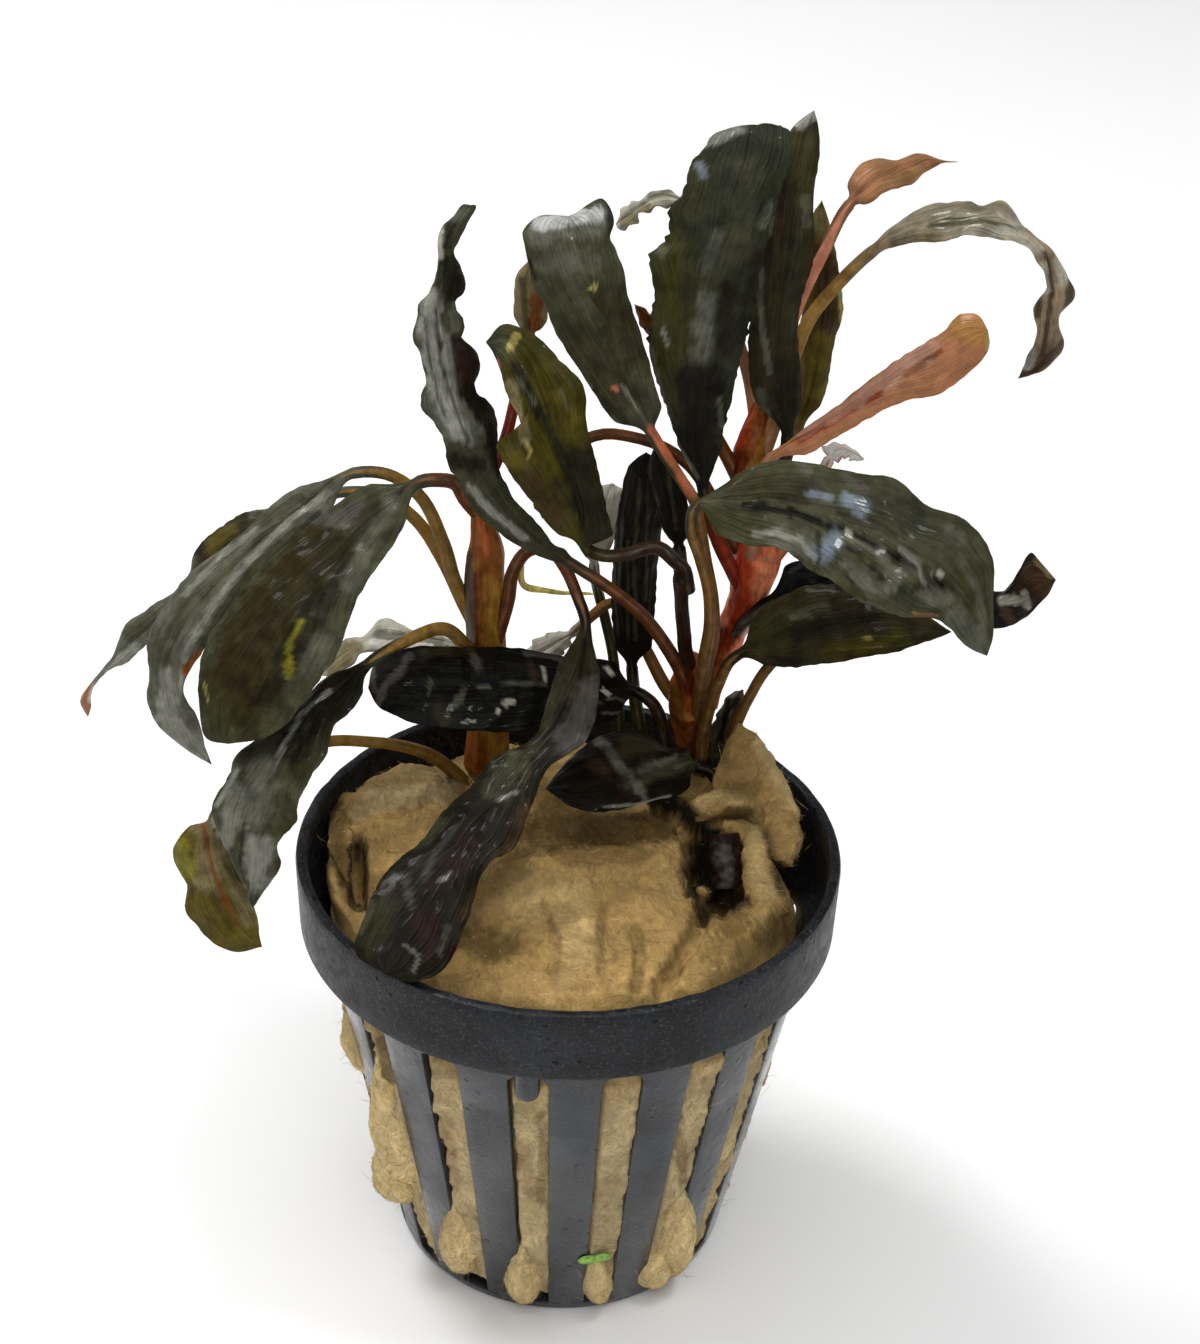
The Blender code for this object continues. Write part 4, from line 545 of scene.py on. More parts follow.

# Strokes of paint on leaves and stems: their own browns, reds and greens, and, mostly in
# the pale greys, the pale blue and mauve, painted sheen, highlights and reflections. Each
# gives colour, strength, half width in pixels, and the columns and rows of the places along
# the stroke
COLOUR_AND_SHEEN_STROKES = {
    "leaf_left_front": (
        ("bark", 0.95, 26, 318, 545, 262, 610, 232, 680), ("bark", 0.8, 22, 290, 640, 245, 715),
        ("coal", 0.8, 5, 350, 555, 305, 610, 275, 660), ("soot", 0.7, 8, 335, 590, 300, 650, 262, 700),
        ("stone", 0.6, 8, 392, 500, 366, 545, 350, 585), ("umber", 0.6, 8, 372, 505, 345, 545, 318, 580),
        ("mauve", 0.8, 7, 318, 518, 345, 520, 356, 508), ("moss", 0.5, 12, 206, 690, 222, 735),
        ("lime", 0.65, 3.2, 300, 622, 290, 642, 288, 660), ("lime", 0.7, 5, 288, 664, 289, 674),
        ("stone", 0.5, 9, 322, 640, 308, 668), ("straw", 0.6, 1.2, 204, 684, 208, 700)),
    "leaf_left_back": (
        ("pine", 0.8, 5, 320, 515, 270, 552, 232, 595, 205, 640, 192, 680),
        ("slate", 0.8, 9, 310, 530, 270, 560, 240, 595, 218, 635),
        ("silver", 0.7, 3, 330, 492, 290, 520, 250, 560, 215, 600, 186, 650, 178, 700),
        ("slate", 0.7, 5, 300, 498, 250, 528, 200, 575, 165, 640, 168, 690),
        ("silver", 0.7, 3, 255, 530, 222, 555, 185, 595),
        ("silver", 0.8, 10, 165, 680, 166, 712, 185, 745),
        ("rust", 0.95, 5, 200, 655, 187, 668, 188, 688), ("moss", 0.6, 7, 155, 640, 152, 690),
        ("rust", 0.9, 4, 212, 762, 222, 758)),
    "leaf_left_far": (
        ("umber", 0.9, 17, 245, 530, 205, 550), ("olive_light", 0.7, 8, 228, 532, 212, 548),
        ("silver", 0.8, 3, 250, 540, 205, 575, 165, 612), ("slate", 0.7, 8, 150, 618, 132, 632),
        ("silver", 0.8, 6, 135, 650, 105, 672), ("sheen_white", 0.8, 5, 104, 672, 92, 700),
        ("stone", 0.6, 3, 112, 660, 95, 680), ("clay", 0.9, 4, 86, 708, 88, 717)),
    "leaf_left_low": (
        ("soot", 0.95, 15, 362, 678, 330, 715, 305, 758), ("moss", 0.7, 12, 335, 730, 310, 770),
        ("coal", 0.9, 9, 350, 668, 315, 700, 285, 745), ("umber", 0.8, 6, 320, 690, 280, 725),
        ("straw", 0.95, 2.6, 345, 662, 320, 680, 303, 690), ("olive_light", 0.9, 3, 303, 692, 282, 716),
        ("silver", 0.7, 2.5, 330, 690, 300, 715, 280, 755, 258, 800, 245, 835),
        ("stone", 0.9, 16, 262, 770, 250, 815), ("silver", 0.6, 14, 258, 850, 262, 880),
        ("silver", 0.5, 8, 236, 790, 225, 840), ("stone", 0.8, 8, 242, 748, 228, 778),
        ("moss", 0.9, 8, 296, 815, 288, 830), ("umber", 0.7, 6, 280, 862, 270, 872),
        ("coal", 0.8, 2, 246, 825, 240, 860), ("umber", 0.7, 5, 250, 752, 240, 762),
        ("silver", 0.8, 2.5, 238, 770, 216, 806)),
    "leaf_left_tip": (
        ("beige", 0.9, 13, 205, 830, 212, 880), ("beige", 0.9, 12, 222, 840, 240, 885, 252, 915),
        ("sheen_white", 0.7, 5, 216, 822, 221, 832), ("lime", 0.8, 10, 180, 845, 184, 868),
        ("olive_light", 0.8, 16, 205, 915, 235, 945), ("rust", 0.8, 2.6, 203, 825, 212, 870, 230, 910),
        ("moss", 0.5, 8, 230, 860, 240, 872)),
    "leaf_back_left": (
        ("stone", 0.8, 7, 380, 636, 440, 642), ("beige", 0.9, 10, 352, 650, 335, 668),
        ("white", 0.7, 3, 372, 642, 430, 646)),
    "leaf_black_cross": (
        ("mauve", 0.7, 4, 408, 657, 400, 672, 386, 684, 378, 704), ("mauve", 0.6, 3, 371, 664, 374, 690),
        ("stone", 0.4, 2, 431, 680, 429, 694), ("stone", 0.6, 3.4, 464, 690, 458, 702, 452, 707),
        ("mauve", 0.6, 3, 526, 653, 548, 655, 566, 662),
        ("stone", 0.6, 1.4, 478, 687, 510, 684, 545, 683), ("cocoa", 0.7, 4, 530, 664, 536, 680),
        ("umber", 0.6, 8, 440, 712, 445, 716), ("linen", 0.7, 3, 506, 703, 512, 701),
        ("linen", 0.8, 1.2, 498, 708, 494, 720), ("silver", 0.7, 1.2, 462, 722, 476, 722),
        ("linen", 0.8, 1.2, 543, 668, 546, 680), ("mauve", 0.5, 4, 474, 655, 478, 668),
        ("umber", 0.6, 5, 425, 652, 470, 650), ("linen", 0.7, 2.4, 607, 668, 612, 674),
        ("linen", 0.8, 2, 603, 690, 608, 694), ("stone", 0.5, 1.2, 600, 702, 616, 698, 636, 706),
        ("stone", 0.5, 1.2, 602, 714, 630, 712)),
    "leaf_low_middle": (
        ("plum", 0.8, 16, 600, 765, 630, 785), ("slate", 0.8, 9, 630, 780, 650, 772, 690, 762),
        ("stone", 0.8, 4.5, 596, 740, 608, 745, 616, 764, 622, 770),
        ("stone", 0.8, 4, 630, 774, 638, 786, 646, 800), ("stone", 0.7, 3, 640, 772, 662, 762, 676, 756),
        ("umber", 0.8, 9, 625, 748, 655, 745), ("silver", 0.5, 1.6, 605, 807, 640, 804, 670, 796),
        ("stone", 0.6, 2, 676, 768, 690, 762), ("cocoa", 0.6, 6, 590, 762, 606, 772)),
    "leaf_front": (
        ("umber", 0.9, 14, 582, 640, 570, 690), ("soot", 0.7, 2.6, 585, 640, 580, 680),
        ("slate", 0.7, 6, 560, 680, 545, 722), ("mauve", 0.57, 13, 590, 690, 570, 740),
        ("mauve", 0.48, 5, 556, 752, 585, 735), ("slate", 0.9, 15, 515, 760, 500, 785),
        ("moss", 0.6, 8, 535, 745, 520, 770), ("silver", 0.48, 2.4, 500, 800, 516, 792),
        ("soot", 0.9, 22, 470, 830, 430, 890, 400, 945), ("plum", 0.9, 14, 468, 845, 440, 880),
        ("plum", 0.95, 16, 430, 925, 438, 945), ("slate", 0.8, 8, 436, 822, 424, 838),
        ("stone", 0.36, 2.4, 455, 828, 438, 850, 424, 872), ("mauve", 0.42, 3, 432, 860, 424, 880),
        ("silver", 0.36, 2, 452, 872, 440, 882), ("stone", 0.42, 3, 405, 880, 412, 908),
        ("stone", 0.42, 3, 448, 926, 440, 955), ("cocoa", 0.8, 9, 525, 810, 512, 845),
        ("cocoa", 0.7, 8, 500, 860, 470, 915), ("moss", 0.5, 10, 388, 905, 372, 945),
        ("stone", 0.48, 3.4, 400, 876, 384, 884), ("plum", 0.8, 8, 392, 890, 396, 892),
        ("slate", 0.8, 4, 372, 905, 362, 930), ("silver", 0.36, 2, 405, 945, 418, 955, 414, 972)),
    "leaf_dark_long": (
        ("silver", 1, 10, 430, 300, 430, 345, 440, 395, 455, 430),
        ("silver", 0.7, 5, 446, 340, 452, 390, 470, 440), ("stone", 0.7, 6, 425, 400, 445, 440),
        ("coal", 0.7, 1.8, 436, 310, 440, 360, 455, 410, 468, 440),
        ("coal", 0.6, 1.6, 425, 320, 431, 370, 444, 415), ("soot", 0.95, 10, 452, 265, 455, 295),
        ("stone", 0.8, 5, 455, 305, 455, 328), ("plum", 0.95, 12, 462, 345, 468, 375),
        ("soot", 0.95, 11, 470, 395, 490, 430, 505, 465), ("soot", 0.8, 7, 455, 460, 480, 465),
        ("stone", 0.8, 5, 462, 405, 482, 440), ("silver", 0.85, 4, 470, 488, 495, 515, 525, 538),
        ("slate", 0.8, 8, 495, 490, 535, 530), ("silver", 0.5, 2.4, 505, 470, 540, 520, 565, 540),
        ("linen", 0.8, 5, 438, 255, 440, 232), ("stone", 0.8, 4, 452, 220, 466, 208),
        ("coal", 0.7, 5, 450, 225, 446, 245)),
    "leaf_olive": (
        ("slate", 0.9, 14, 490, 338, 500, 345), ("straw", 0.7, 4, 508, 348, 516, 336),
        ("coral", 0.7, 3.4, 497, 362, 498, 368), ("olive_light", 0.55, 9, 505, 452, 525, 462),
        ("olive_light", 0.45, 7, 560, 395, 575, 430),
        ("coal", 0.9, 4.5, 515, 365, 532, 400, 560, 450, 582, 520), ("stone", 0.6, 2, 518, 378, 536, 405),
        ("stone", 0.5, 2, 560, 390, 568, 410), ("beige", 0.8, 5, 512, 385, 525, 440),
        ("coal", 0.85, 18, 580, 465, 600, 530), ("cocoa", 0.6, 12, 530, 480, 555, 520),
        ("straw", 0.8, 1.8, 526, 442, 532, 450, 528, 458), ("moss", 0.5, 10, 545, 350, 570, 372),
        ("umber", 0.6, 10, 560, 485, 562, 500)),
    "leaf_mid": (
        ("stone", 0.9, 13, 540, 232, 600, 222), ("sheen_white", 0.8, 7, 540, 224, 602, 213),
        ("coal", 0.7, 4, 606, 205, 612, 232), ("stone", 0.5, 12, 550, 262, 590, 262),
        ("umber", 0.8, 16, 612, 300, 635, 350), ("umber", 0.7, 20, 580, 340, 620, 390),
        ("straw", 0.95, 2.6, 593, 287, 595, 287), ("coral", 0.6, 3, 614, 388, 616, 388),
        ("coal", 0.8, 5, 596, 395, 625, 422), ("stone", 0.6, 3, 560, 352, 590, 388),
        ("silver", 0.45, 1.8, 622, 385, 648, 425), ("pine", 0.6, 8, 645, 400, 655, 425),
        ("coral", 0.85, 5, 652, 430, 675, 462, 690, 492), ("soot", 0.8, 3, 528, 262, 536, 278),
        ("stone", 0.5, 2, 570, 230, 575, 262)),
    "leaf_mid_back": (
        ("rust", 0.9, 7, 536, 300, 534, 335), ("umber", 0.6, 3, 527, 330, 522, 280)),
    "leaf_tall": (
        ("red", 0.9, 13, 722, 540, 734, 565, 744, 602), ("moss", 0.85, 20, 672, 250, 672, 340, 678, 390),
        ("olive", 0.4, 14, 668, 260, 668, 360), ("moss", 0.6, 12, 700, 170, 690, 210),
        ("stone", 0.9, 9, 708, 295, 702, 325), ("stone", 0.75, 9, 704, 325, 700, 358),
        ("stone", 0.6, 6, 718, 235, 708, 270), ("slate", 0.7, 10, 735, 240, 712, 285),
        ("coal", 0.9, 9, 728, 290, 726, 350), ("soot", 0.95, 22, 700, 385, 700, 440),
        ("soot", 0.95, 15, 690, 440, 705, 480), ("slate", 0.5, 14, 745, 170, 735, 250),
        ("sky", 0.5, 4, 698, 166, 704, 176), ("silver", 0.6, 2, 668, 345, 662, 330),
        ("stone", 0.6, 2.2, 650, 345, 662, 395, 672, 435, 698, 478),
        ("silver", 0.6, 2, 672, 440, 690, 468), ("stone", 0.7, 5, 660, 248, 662, 252),
        ("coal", 0.8, 10, 760, 260, 745, 340), ("stone", 0.6, 5, 770, 205, 762, 225),
        ("silver", 0.7, 6, 706, 142, 738, 128), ("stone", 0.7, 2.6, 719, 400, 721, 425)),
    "leaf_tall_right": (
        ("moss", 0.8, 12, 805, 140, 804, 200), ("silver", 0.9, 7, 798, 122, 815, 112),
        ("coal", 0.8, 12, 785, 370, 788, 430), ("stone", 0.7, 3, 762, 272, 760, 300, 764, 340, 770, 372),
        ("coal", 0.7, 4, 770, 240, 768, 270), ("stone", 0.5, 5, 806, 200, 808, 222),
        ("stone", 0.6, 2, 778, 185, 770, 235), ("pine", 0.6, 8, 795, 240, 795, 330),
        ("stone", 0.5, 5, 760, 392, 765, 415)),
    "leaf_top_back": (
        ("moss", 0.6, 3, 650, 196, 670, 190), ("beige", 0.8, 5, 625, 222, 645, 208)),
    "leaf_striped": (
        ("slate", 0.8, 2, 640, 480, 634, 560, 636, 640), ("slate", 0.7, 1.6, 648, 480, 646, 600),
        ("slate", 0.7, 1.6, 622, 520, 618, 600), ("stone", 0.3, 1.4, 628, 540, 628, 640)),
    "leaf_dark_narrow": (
        ("slate", 0.7, 1.8, 668, 470, 676, 530),),
    "leaf_right_front": (
        ("umber", 0.7, 14, 740, 485, 800, 492), ("moss", 0.8, 14, 715, 520, 755, 520),
        ("moss", 0.5, 12, 735, 475, 770, 478),
        ("ink", 0.95, 4, 745, 505, 790, 512, 850, 534, 910, 563, 955, 596),
        ("soot", 0.7, 2.6, 838, 512, 875, 522, 905, 537), ("stone", 0.8, 13, 770, 540, 800, 545),
        ("silver", 0.6, 3, 755, 535, 775, 532, 800, 540, 815, 560), ("sky", 0.9, 8, 822, 555, 835, 540),
        ("sky", 0.85, 7, 848, 500, 862, 508), ("sky", 0.6, 4, 810, 494, 830, 497),
        ("mauve", 0.6, 7, 850, 480, 862, 488), ("stone", 0.7, 5, 800, 462, 806, 472),
        ("coal", 0.8, 2.6, 818, 530, 820, 560), ("stone", 0.9, 5, 845, 565, 872, 590),
        ("moss", 0.8, 4, 862, 552, 890, 575), ("stone", 0.7, 5, 880, 552, 895, 580, 885, 592),
        ("mauve", 0.5, 6, 905, 565, 920, 575), ("linen", 0.9, 2.6, 848, 532, 852, 540),
        ("pine", 0.7, 9, 900, 595, 920, 605), ("stone", 0.8, 9, 925, 590, 945, 600),
        ("coal", 0.8, 4, 915, 588, 940, 582), ("moss", 0.8, 8, 965, 570, 975, 605),
        ("stone", 0.8, 12, 955, 620, 980, 645), ("stone", 0.6, 6, 950, 530, 960, 540),
        ("linen", 0.9, 2, 932, 572, 940, 576), ("fawn", 0.5, 2, 915, 614, 938, 616),
        ("stone", 0.9, 2.2, 838, 532, 858, 543, 882, 557, 900, 575, 893, 592, 872, 589),
        ("ink", 0.8, 2, 848, 548, 868, 562, 884, 582), ("silver", 0.5, 2, 900, 548, 918, 566, 924, 586),
        ("ink", 0.7, 2.4, 846, 575, 866, 600), ("stone", 0.6, 4, 962, 560, 978, 590, 984, 640),
        ("moss", 0.7, 5, 840, 585, 862, 598), ("moss", 0.8, 4, 760, 545, 800, 562),
        ("pine", 0.5, 16, 890, 500, 930, 530)),
    "leaf_right_low": (
        ("moss", 0.8, 12, 755, 640, 790, 622), ("coal", 0.9, 10, 800, 632, 870, 615),
        ("slate", 0.7, 4, 785, 614, 830, 608), ("stone", 0.5, 2.4, 790, 618, 812, 616),
        ("olive", 0.8, 8, 830, 652, 900, 638), ("straw", 0.5, 2.4, 866, 638, 870, 639),
        ("coal", 0.6, 6, 770, 660, 790, 662), ("olive_light", 0.5, 3, 840, 648, 880, 645)),
    "leaf_right_back": (
        ("linen", 0.51, 5, 1002, 600, 1018, 600), ("cocoa", 0.9, 5, 1006, 612, 1010, 622),
        ("linen", 0.48, 3.4, 1024, 592, 1028, 606), ("cocoa", 0.8, 10, 1035, 572, 1045, 585),
        ("beige", 0.6, 3, 1036, 560, 1052, 576), ("stone", 0.36, 2, 790, 572, 800, 566)),
    "leaf_pink": (
        ("olive_light", 0.35, 9, 900, 182, 935, 172), ("rust", 0.35, 3, 885, 178, 905, 165, 930, 160),
        ("clay", 0.6, 9, 862, 172, 870, 190)),
    "leaf_arching": (
        ("sage", 0.9, 20, 900, 226, 950, 218, 1010, 222),
        ("slate", 0.8, 2.2, 930, 226, 985, 221, 1020, 230),
        ("linen", 0.6, 6, 1000, 232, 1025, 240, 1038, 250), ("linen", 0.5, 4, 1000, 212, 1015, 222),
        ("silver", 0.4, 4, 950, 234, 990, 232), ("slate", 0.5, 6, 970, 206, 998, 208),
        ("cocoa", 0.9, 2.6, 1045, 252, 1052, 290, 1046, 335, 1042, 355),
        ("linen", 0.7, 6, 1060, 262, 1062, 280), ("umber", 0.8, 4, 1072, 285, 1066, 312),
        ("linen", 0.5, 4, 1044, 265, 1046, 290), ("umber", 0.8, 4, 1038, 300, 1038, 315),
        ("silver", 0.7, 5, 1032, 352, 1028, 366), ("cocoa", 0.7, 4, 1062, 345, 1045, 362),
        ("cocoa", 0.9, 4, 1022, 376, 1035, 374), ("olive_light", 0.5, 6, 895, 245, 930, 238)),
    "leaf_salmon": (
        ("rose", 0.8, 9, 860, 400, 930, 350), ("rust", 0.7, 3, 905, 375, 940, 352),
        ("red", 0.8, 3.4, 800, 440, 835, 420, 880, 394), ("tan", 0.9, 12, 960, 325, 980, 335),
        ("straw", 0.7, 3, 990, 325, 988, 350), ("peach", 0.5, 2.4, 945, 348, 955, 342),
        ("rose", 0.6, 6, 800, 432, 860, 402), ("clay", 0.7, 9, 910, 385, 940, 378)),
    "leaf_right_rear": (
        ("cocoa", 0.9, 12, 824, 260, 826, 320), ("straw", 0.6, 2, 840, 280, 841, 320),
        ("beige", 0.8, 8, 818, 215, 826, 232)),
    "leaf_small_base": (
        ("coal", 0.8, 3, 728, 700, 722, 740), ("soot", 0.7, 3, 738, 700, 732, 730)),
    "stem_left": (
        ("rust", 0.9, 16, 484, 505, 486, 560), ("cocoa", 0.95, 9, 466, 560, 468, 640, 472, 700),
        ("wine", 0.7, 4, 475, 580, 477, 650), ("amber", 0.6, 6, 498, 590, 496, 640),
        ("rust", 0.6, 4, 480, 570, 482, 640), ("rust", 0.9, 12, 468, 725, 474, 765),
        ("amber", 0.8, 8, 494, 735, 496, 755), ("coral", 0.4, 4, 478, 510, 486, 550)),
    "stem_middle": (
        ("ember", 0.8, 9, 698, 670, 694, 712), ("wine", 0.9, 7, 684, 672, 690, 690),
        ("amber", 0.7, 3, 682, 716, 698, 718), ("ochre", 0.6, 3, 676, 690, 682, 712)),
    "stem_right": (
        ("red", 0.9, 11, 745, 540, 744, 590, 738, 615), ("clay", 0.5, 6, 768, 560, 758, 590),
        ("wine", 0.9, 10, 728, 632, 716, 655), ("red", 0.5, 7, 735, 620, 722, 645),
        ("rust", 0.95, 12, 716, 665, 704, 695)),
    "stem_dark": (
        ("plum", 0.8, 4, 682, 570, 686, 650),),
    "sheath_right": (
        ("wine", 0.8, 10, 735, 420, 740, 470), ("tan", 0.7, 3, 752, 480, 775, 445),
        ("red", 0.6, 8, 748, 400, 742, 440), ("ochre", 0.7, 4, 765, 440, 750, 470)),
    "stub": (
        ("mauve", 0.7, 8, 722, 850, 728, 880),),
}

# Duckweed: column, row and half width in millimetres of each lobe
DUCKWEED = ((588, 1259, 0.75), (601, 1257, 0.7))

# Steps and sides of the meshes
STALK_STEP = 0.9 * MM
STALK_ROWS = 5
BLADE_STEP = 0.27 * MM
BLADE_ROWS = (36, 110)
LEAF_SIDES = 72
STEM_ROWS = 70
STEM_SIDES = 40
SECTOR_COLUMNS = 12
SECTOR_ROWS = 34
TAB_SIDES = 28
WOOL_COLUMNS = 408
WOOL_SIDE_ROWS = 96
WOOL_TOP_ROWS = 90
SWELL_SIDES = 64
SWELL_ROWS = 56
LUMP_SIDES = 40
LUMP_ROWS = 70
FIBRE_STEPS = 4
DUCKWEED_SIDES = 36
UV_STEP = 10 * MM

# Petioles: radius, and the share that it flares by over the first share of the leaf's length
STALK_RADIUS = 0.55 * MM
STALK_FLARE = 0.35
STALK_FOOT = 0.25

# Blades: thickness at the edge and in the middle, the rib underneath and its spread, the share
# over which the petiole opens out, and the widths between which the blade's own lie is followed
BLADE_EDGE = 0.10 * MM
BLADE_MIDDLE = 0.34 * MM
BLADE_RIB = 0.22 * MM
RIB_SPREAD = 0.08
BLADE_ROOT = 0.12
TRUSTED_WIDTH = (0.8 * MM, 2.4 * MM)
LEAN_POWER = 0.7

# Relief of the blades in millimetres: camber, ruffle with its waves, pucker and its wave length,
# groove along the midrib with its spread as a share of the width, and the edge's nibbles
CAMBER = 0.35
RUFFLE = (0.35, 5.0)
SIDE_PHASE = 2.1
PUCKER = 0.12
PUCKER_LENGTH = 3.2
GROOVE = 0.22
GROOVE_SPREAD = 0.09
NIBBLE = 0.05
NIBBLE_LENGTH = 1.6

# Stems round off over the last share of their length, but for those that are cut
STEM_ROUND_FROM = 0.90
CUT_STEMS = ("stub",)

# Wool: how far the top runs in to its middle, how deep its side is painted, and how far
# the swells are lightened, partly to their own paler tan and partly as painted light
TOP_REACH = 0.985
PAINT_DEPTH = 4 * MM
SWELL_PALE = 0.8

# Loose fibres, in millimetres: lengths, radii, how high a few stand off and the rest lie,
# and the share of those few
FIBRE_LENGTHS = (0.5, 2.0)
FIBRE_RADII = (0.012, 0.024)
FIBRE_STANDS = (0.2, 0.8)
FIBRE_LIES = 0.03
FIBRE_LOWEST = 0.1
LOOSE_SHARE = 0.06

# Paint: the mean hue that is fully glossy, and the half widths in pixels from which a stroke
# is fully ragged and fully soft
GLOSSY_LIGHT = 0.25
RAGGED_FROM = 4
SOFT_FROM = 8

# Veins across half a blade, and how far they slant towards its end
VEIN_COUNT = 3.5
VEIN_SLANT = 0.22

# Leaf finishes: roughness, share of the wet coat, contrast along the veins
LEAF_FINISHES = {
    "leaf": (0.46, 0.9, 0.40),
    "olive_leaf": (0.46, 0.8, 0.42),
    "black_leaf": (0.34, 1.0, 0.40),
    "pale_leaf": (0.50, 0.4, 0.22),
    "pink_leaf": (0.45, 0.5, 0.24),
}

# Floor, and lights: name, place, size and share of the power. The wide ones share the
# ceiling light's power, and all face one point.
FLOOR_SIZE = 8.0
WIDE_LIGHT = 0.5
LIGHTS = (
    ("window_light", (-0.45, 0.30, 0.85), 0.28, 1.0),
    ("lamp_light", (0.30, -0.10, 0.90), 0.10, 0.25),
    ("ceiling_light", (0.0, -0.10, 1.20), 1.60, 1.0),
    ("front_light", (0.10, -0.90, 0.70), 0.70, 0.25),
)
LIT_POINT = (0.0, 0.0, 0.06)


def linear(code):
    """A colour written as six hex digits, as linear red, green and blue."""
    parts = np.array([int(code[k:k + 2], 16) for k in (0, 2, 4)]) / 255
    return np.where(parts <= 0.04045, parts / 12.92, ((parts + 0.055) / 1.055) ** 2.4)


HUES = {name: linear(code) for name, code in HUE_CODES.items()}


def sight_lines(pixels):
    """The direction of each pixel's sight line, one unit deep along the view."""
    offset = (np.asarray(pixels, float) - PICTURE_CENTRE) / FOCAL_PX
    return FORWARD + offset[..., :1] * SIGHT_RIGHT - offset[..., 1:2] * SIGHT_UP


def sight_points(places):
    """Points from columns, rows and depths: where a sight line is that far behind the pot's axis."""
    places = np.reshape(np.array(places, float), (-1, 3))
    lines = sight_lines(places[:, :2])
    reach = (places[:, 2] * MM - EYE[1]) / lines[:, 1]
    return EYE + lines * reach[:, None]


def span_lengths(points):
    """The lengths of the spans between points in a row."""
    return np.linalg.norm(np.diff(points, axis=0), axis=1)


def lengths_along(points):
    """How far each point in a row lies from the first, along the row."""
    return np.concatenate([[0.0], np.cumsum(span_lengths(points))])


def pixels_of(points):
    """The pixel whose sight line runs through each point."""
    from_eye = points - EYE
    far = from_eye @ FORWARD
    across = from_eye @ SIGHT_RIGHT / far
    down = -(from_eye @ SIGHT_UP) / far
    return PICTURE_CENTRE + FOCAL_PX * np.stack([across, down], axis=-1)


def smooth_course(points, shares):
    """Points at the given shares of the length of a smooth curve through the points.

    Each span is a cubic whose slope at a point is the chord between its two
    neighbours, scaled by the spans' lengths.
    """
    points = np.asarray(points, float)
    spans = span_lengths(points)
    knots = lengths_along(points)
    slopes = np.gradient(points, knots, axis=0)
    where = np.asarray(shares) * knots[-1]
    span = np.clip(np.searchsorted(knots, where, side="right") - 1, 0, len(spans) - 1)
    width = spans[span]
    t = (where - knots[span]) / width
    t2 = t * t
    t3 = t2 * t
    weights = (2 * t3 - 3 * t2 + 1, (t3 - 2 * t2 + t) * width, 3 * t2 - 2 * t3, (t3 - t2) * width)
    parts = (points[span], slopes[span], points[span + 1], slopes[span + 1])
    return sum(weight[:, None] * part for weight, part in zip(weights, parts))


def circle(count):
    """So many even angles round a circle, in radians."""
    return np.arange(count) / count * 2 * np.pi


def stacked(*parts):
    """The parts, spread to one shape, as the coordinates of points."""
    return np.stack(np.broadcast_arrays(*parts), axis=-1)


def unit(vectors):
    """The vectors, each scaled to length one."""
    return vectors / np.maximum(np.linalg.norm(vectors, axis=-1, keepdims=True), 1e-12)


def smooth_step(low, high, values):
    """0 below low and 1 above high, with an even S curve between."""
    t = np.clip((values - low) / (high - low), 0, 1)
    return t * t * (3 - 2 * t)


def wave_field(points, length, seed, waves=12):
    """An uneven field of about -1 to 1: a sum of sine waves near that length in seeded directions."""
    rng = np.random.default_rng(seed)
    points = np.asarray(points, float)
    ways = unit(rng.normal(size=(waves, points.shape[-1])))
    ways = ways * (2 * np.pi / length * rng.uniform(0.6, 1.6, waves))[:, None]
    phase = rng.uniform(0, 2 * np.pi, waves)
    return np.sin(points @ ways.T + phase).sum(axis=-1) / math.sqrt(waves * 1.5)


def rough_field(points, length, seed, octaves=3):
    """Wave fields of halving length and height added up."""
    return sum(wave_field(points, length / 2 ** k, seed + k) / 2 ** k for k in range(octaves))


def grid_faces(rings, sides):
    """The corner numbers of the quads between closed rings of equally many points."""
    low, k = np.meshgrid(np.arange(rings - 1), np.arange(sides), indexing="ij")
    after = (k + 1) % sides
    corners = (low * sides + k, low * sides + after, (low + 1) * sides + after, (low + 1) * sides + k)
    return np.stack(corners, axis=-1).reshape(-1, 4)


def fan_faces(ring, point, flip):
    """The triangles between a closed ring of corner numbers and one more corner."""
    after = np.roll(ring, -1)
    middle = np.full(len(ring), point)
    return np.stack([after, ring, middle] if flip else [ring, after, middle], axis=-1)


def inward_volume(points, triangles):
    """Minus the volume within the triangles, which is negative where they face out."""
    a, b, c = (points[triangles[:, k]] for k in range(3))
    return -np.einsum("ij,ij->i", a, np.cross(b, c)).sum()


def add_object(name, data):
    """An object in the scene with that mesh, light or camera."""
    obj = bpy.data.objects.new(name, data)
    bpy.context.scene.collection.objects.link(obj)
    return obj


def add_mesh(name, points, quads, triangles=None, uv=None, tint=None, smooth=True):
    """A mesh object at the origin from whole arrays of corners, faces, UV places and tints."""
    triangles = np.empty((0, 3), int) if triangles is None else triangles
    halves = np.concatenate([quads[:, [0, 1, 2]], quads[:, [0, 2, 3]], triangles])
    if inward_volume(points - points.mean(axis=0), halves) > 0:
        quads = quads[:, ::-1]
        triangles = triangles[:, ::-1]
    mesh = bpy.data.meshes.new(name)
    mesh.from_pydata(points.tolist(), [], quads.tolist() + triangles.tolist())
    corners = np.empty(len(mesh.loops), int)
    mesh.loops.foreach_get("vertex_index", corners)
    if uv is not None:
        layer = mesh.uv_layers.new(name="blade")
        layer.data.foreach_set("uv", uv[corners].astype(np.float32).ravel())
    if tint is not None:
        layer = mesh.color_attributes.new("tint", "FLOAT_COLOR", "POINT")
        layer.data.foreach_set("color", tint.astype(np.float32).ravel())
    if smooth:
        mesh.shade_smooth()
    return add_object(name, mesh)


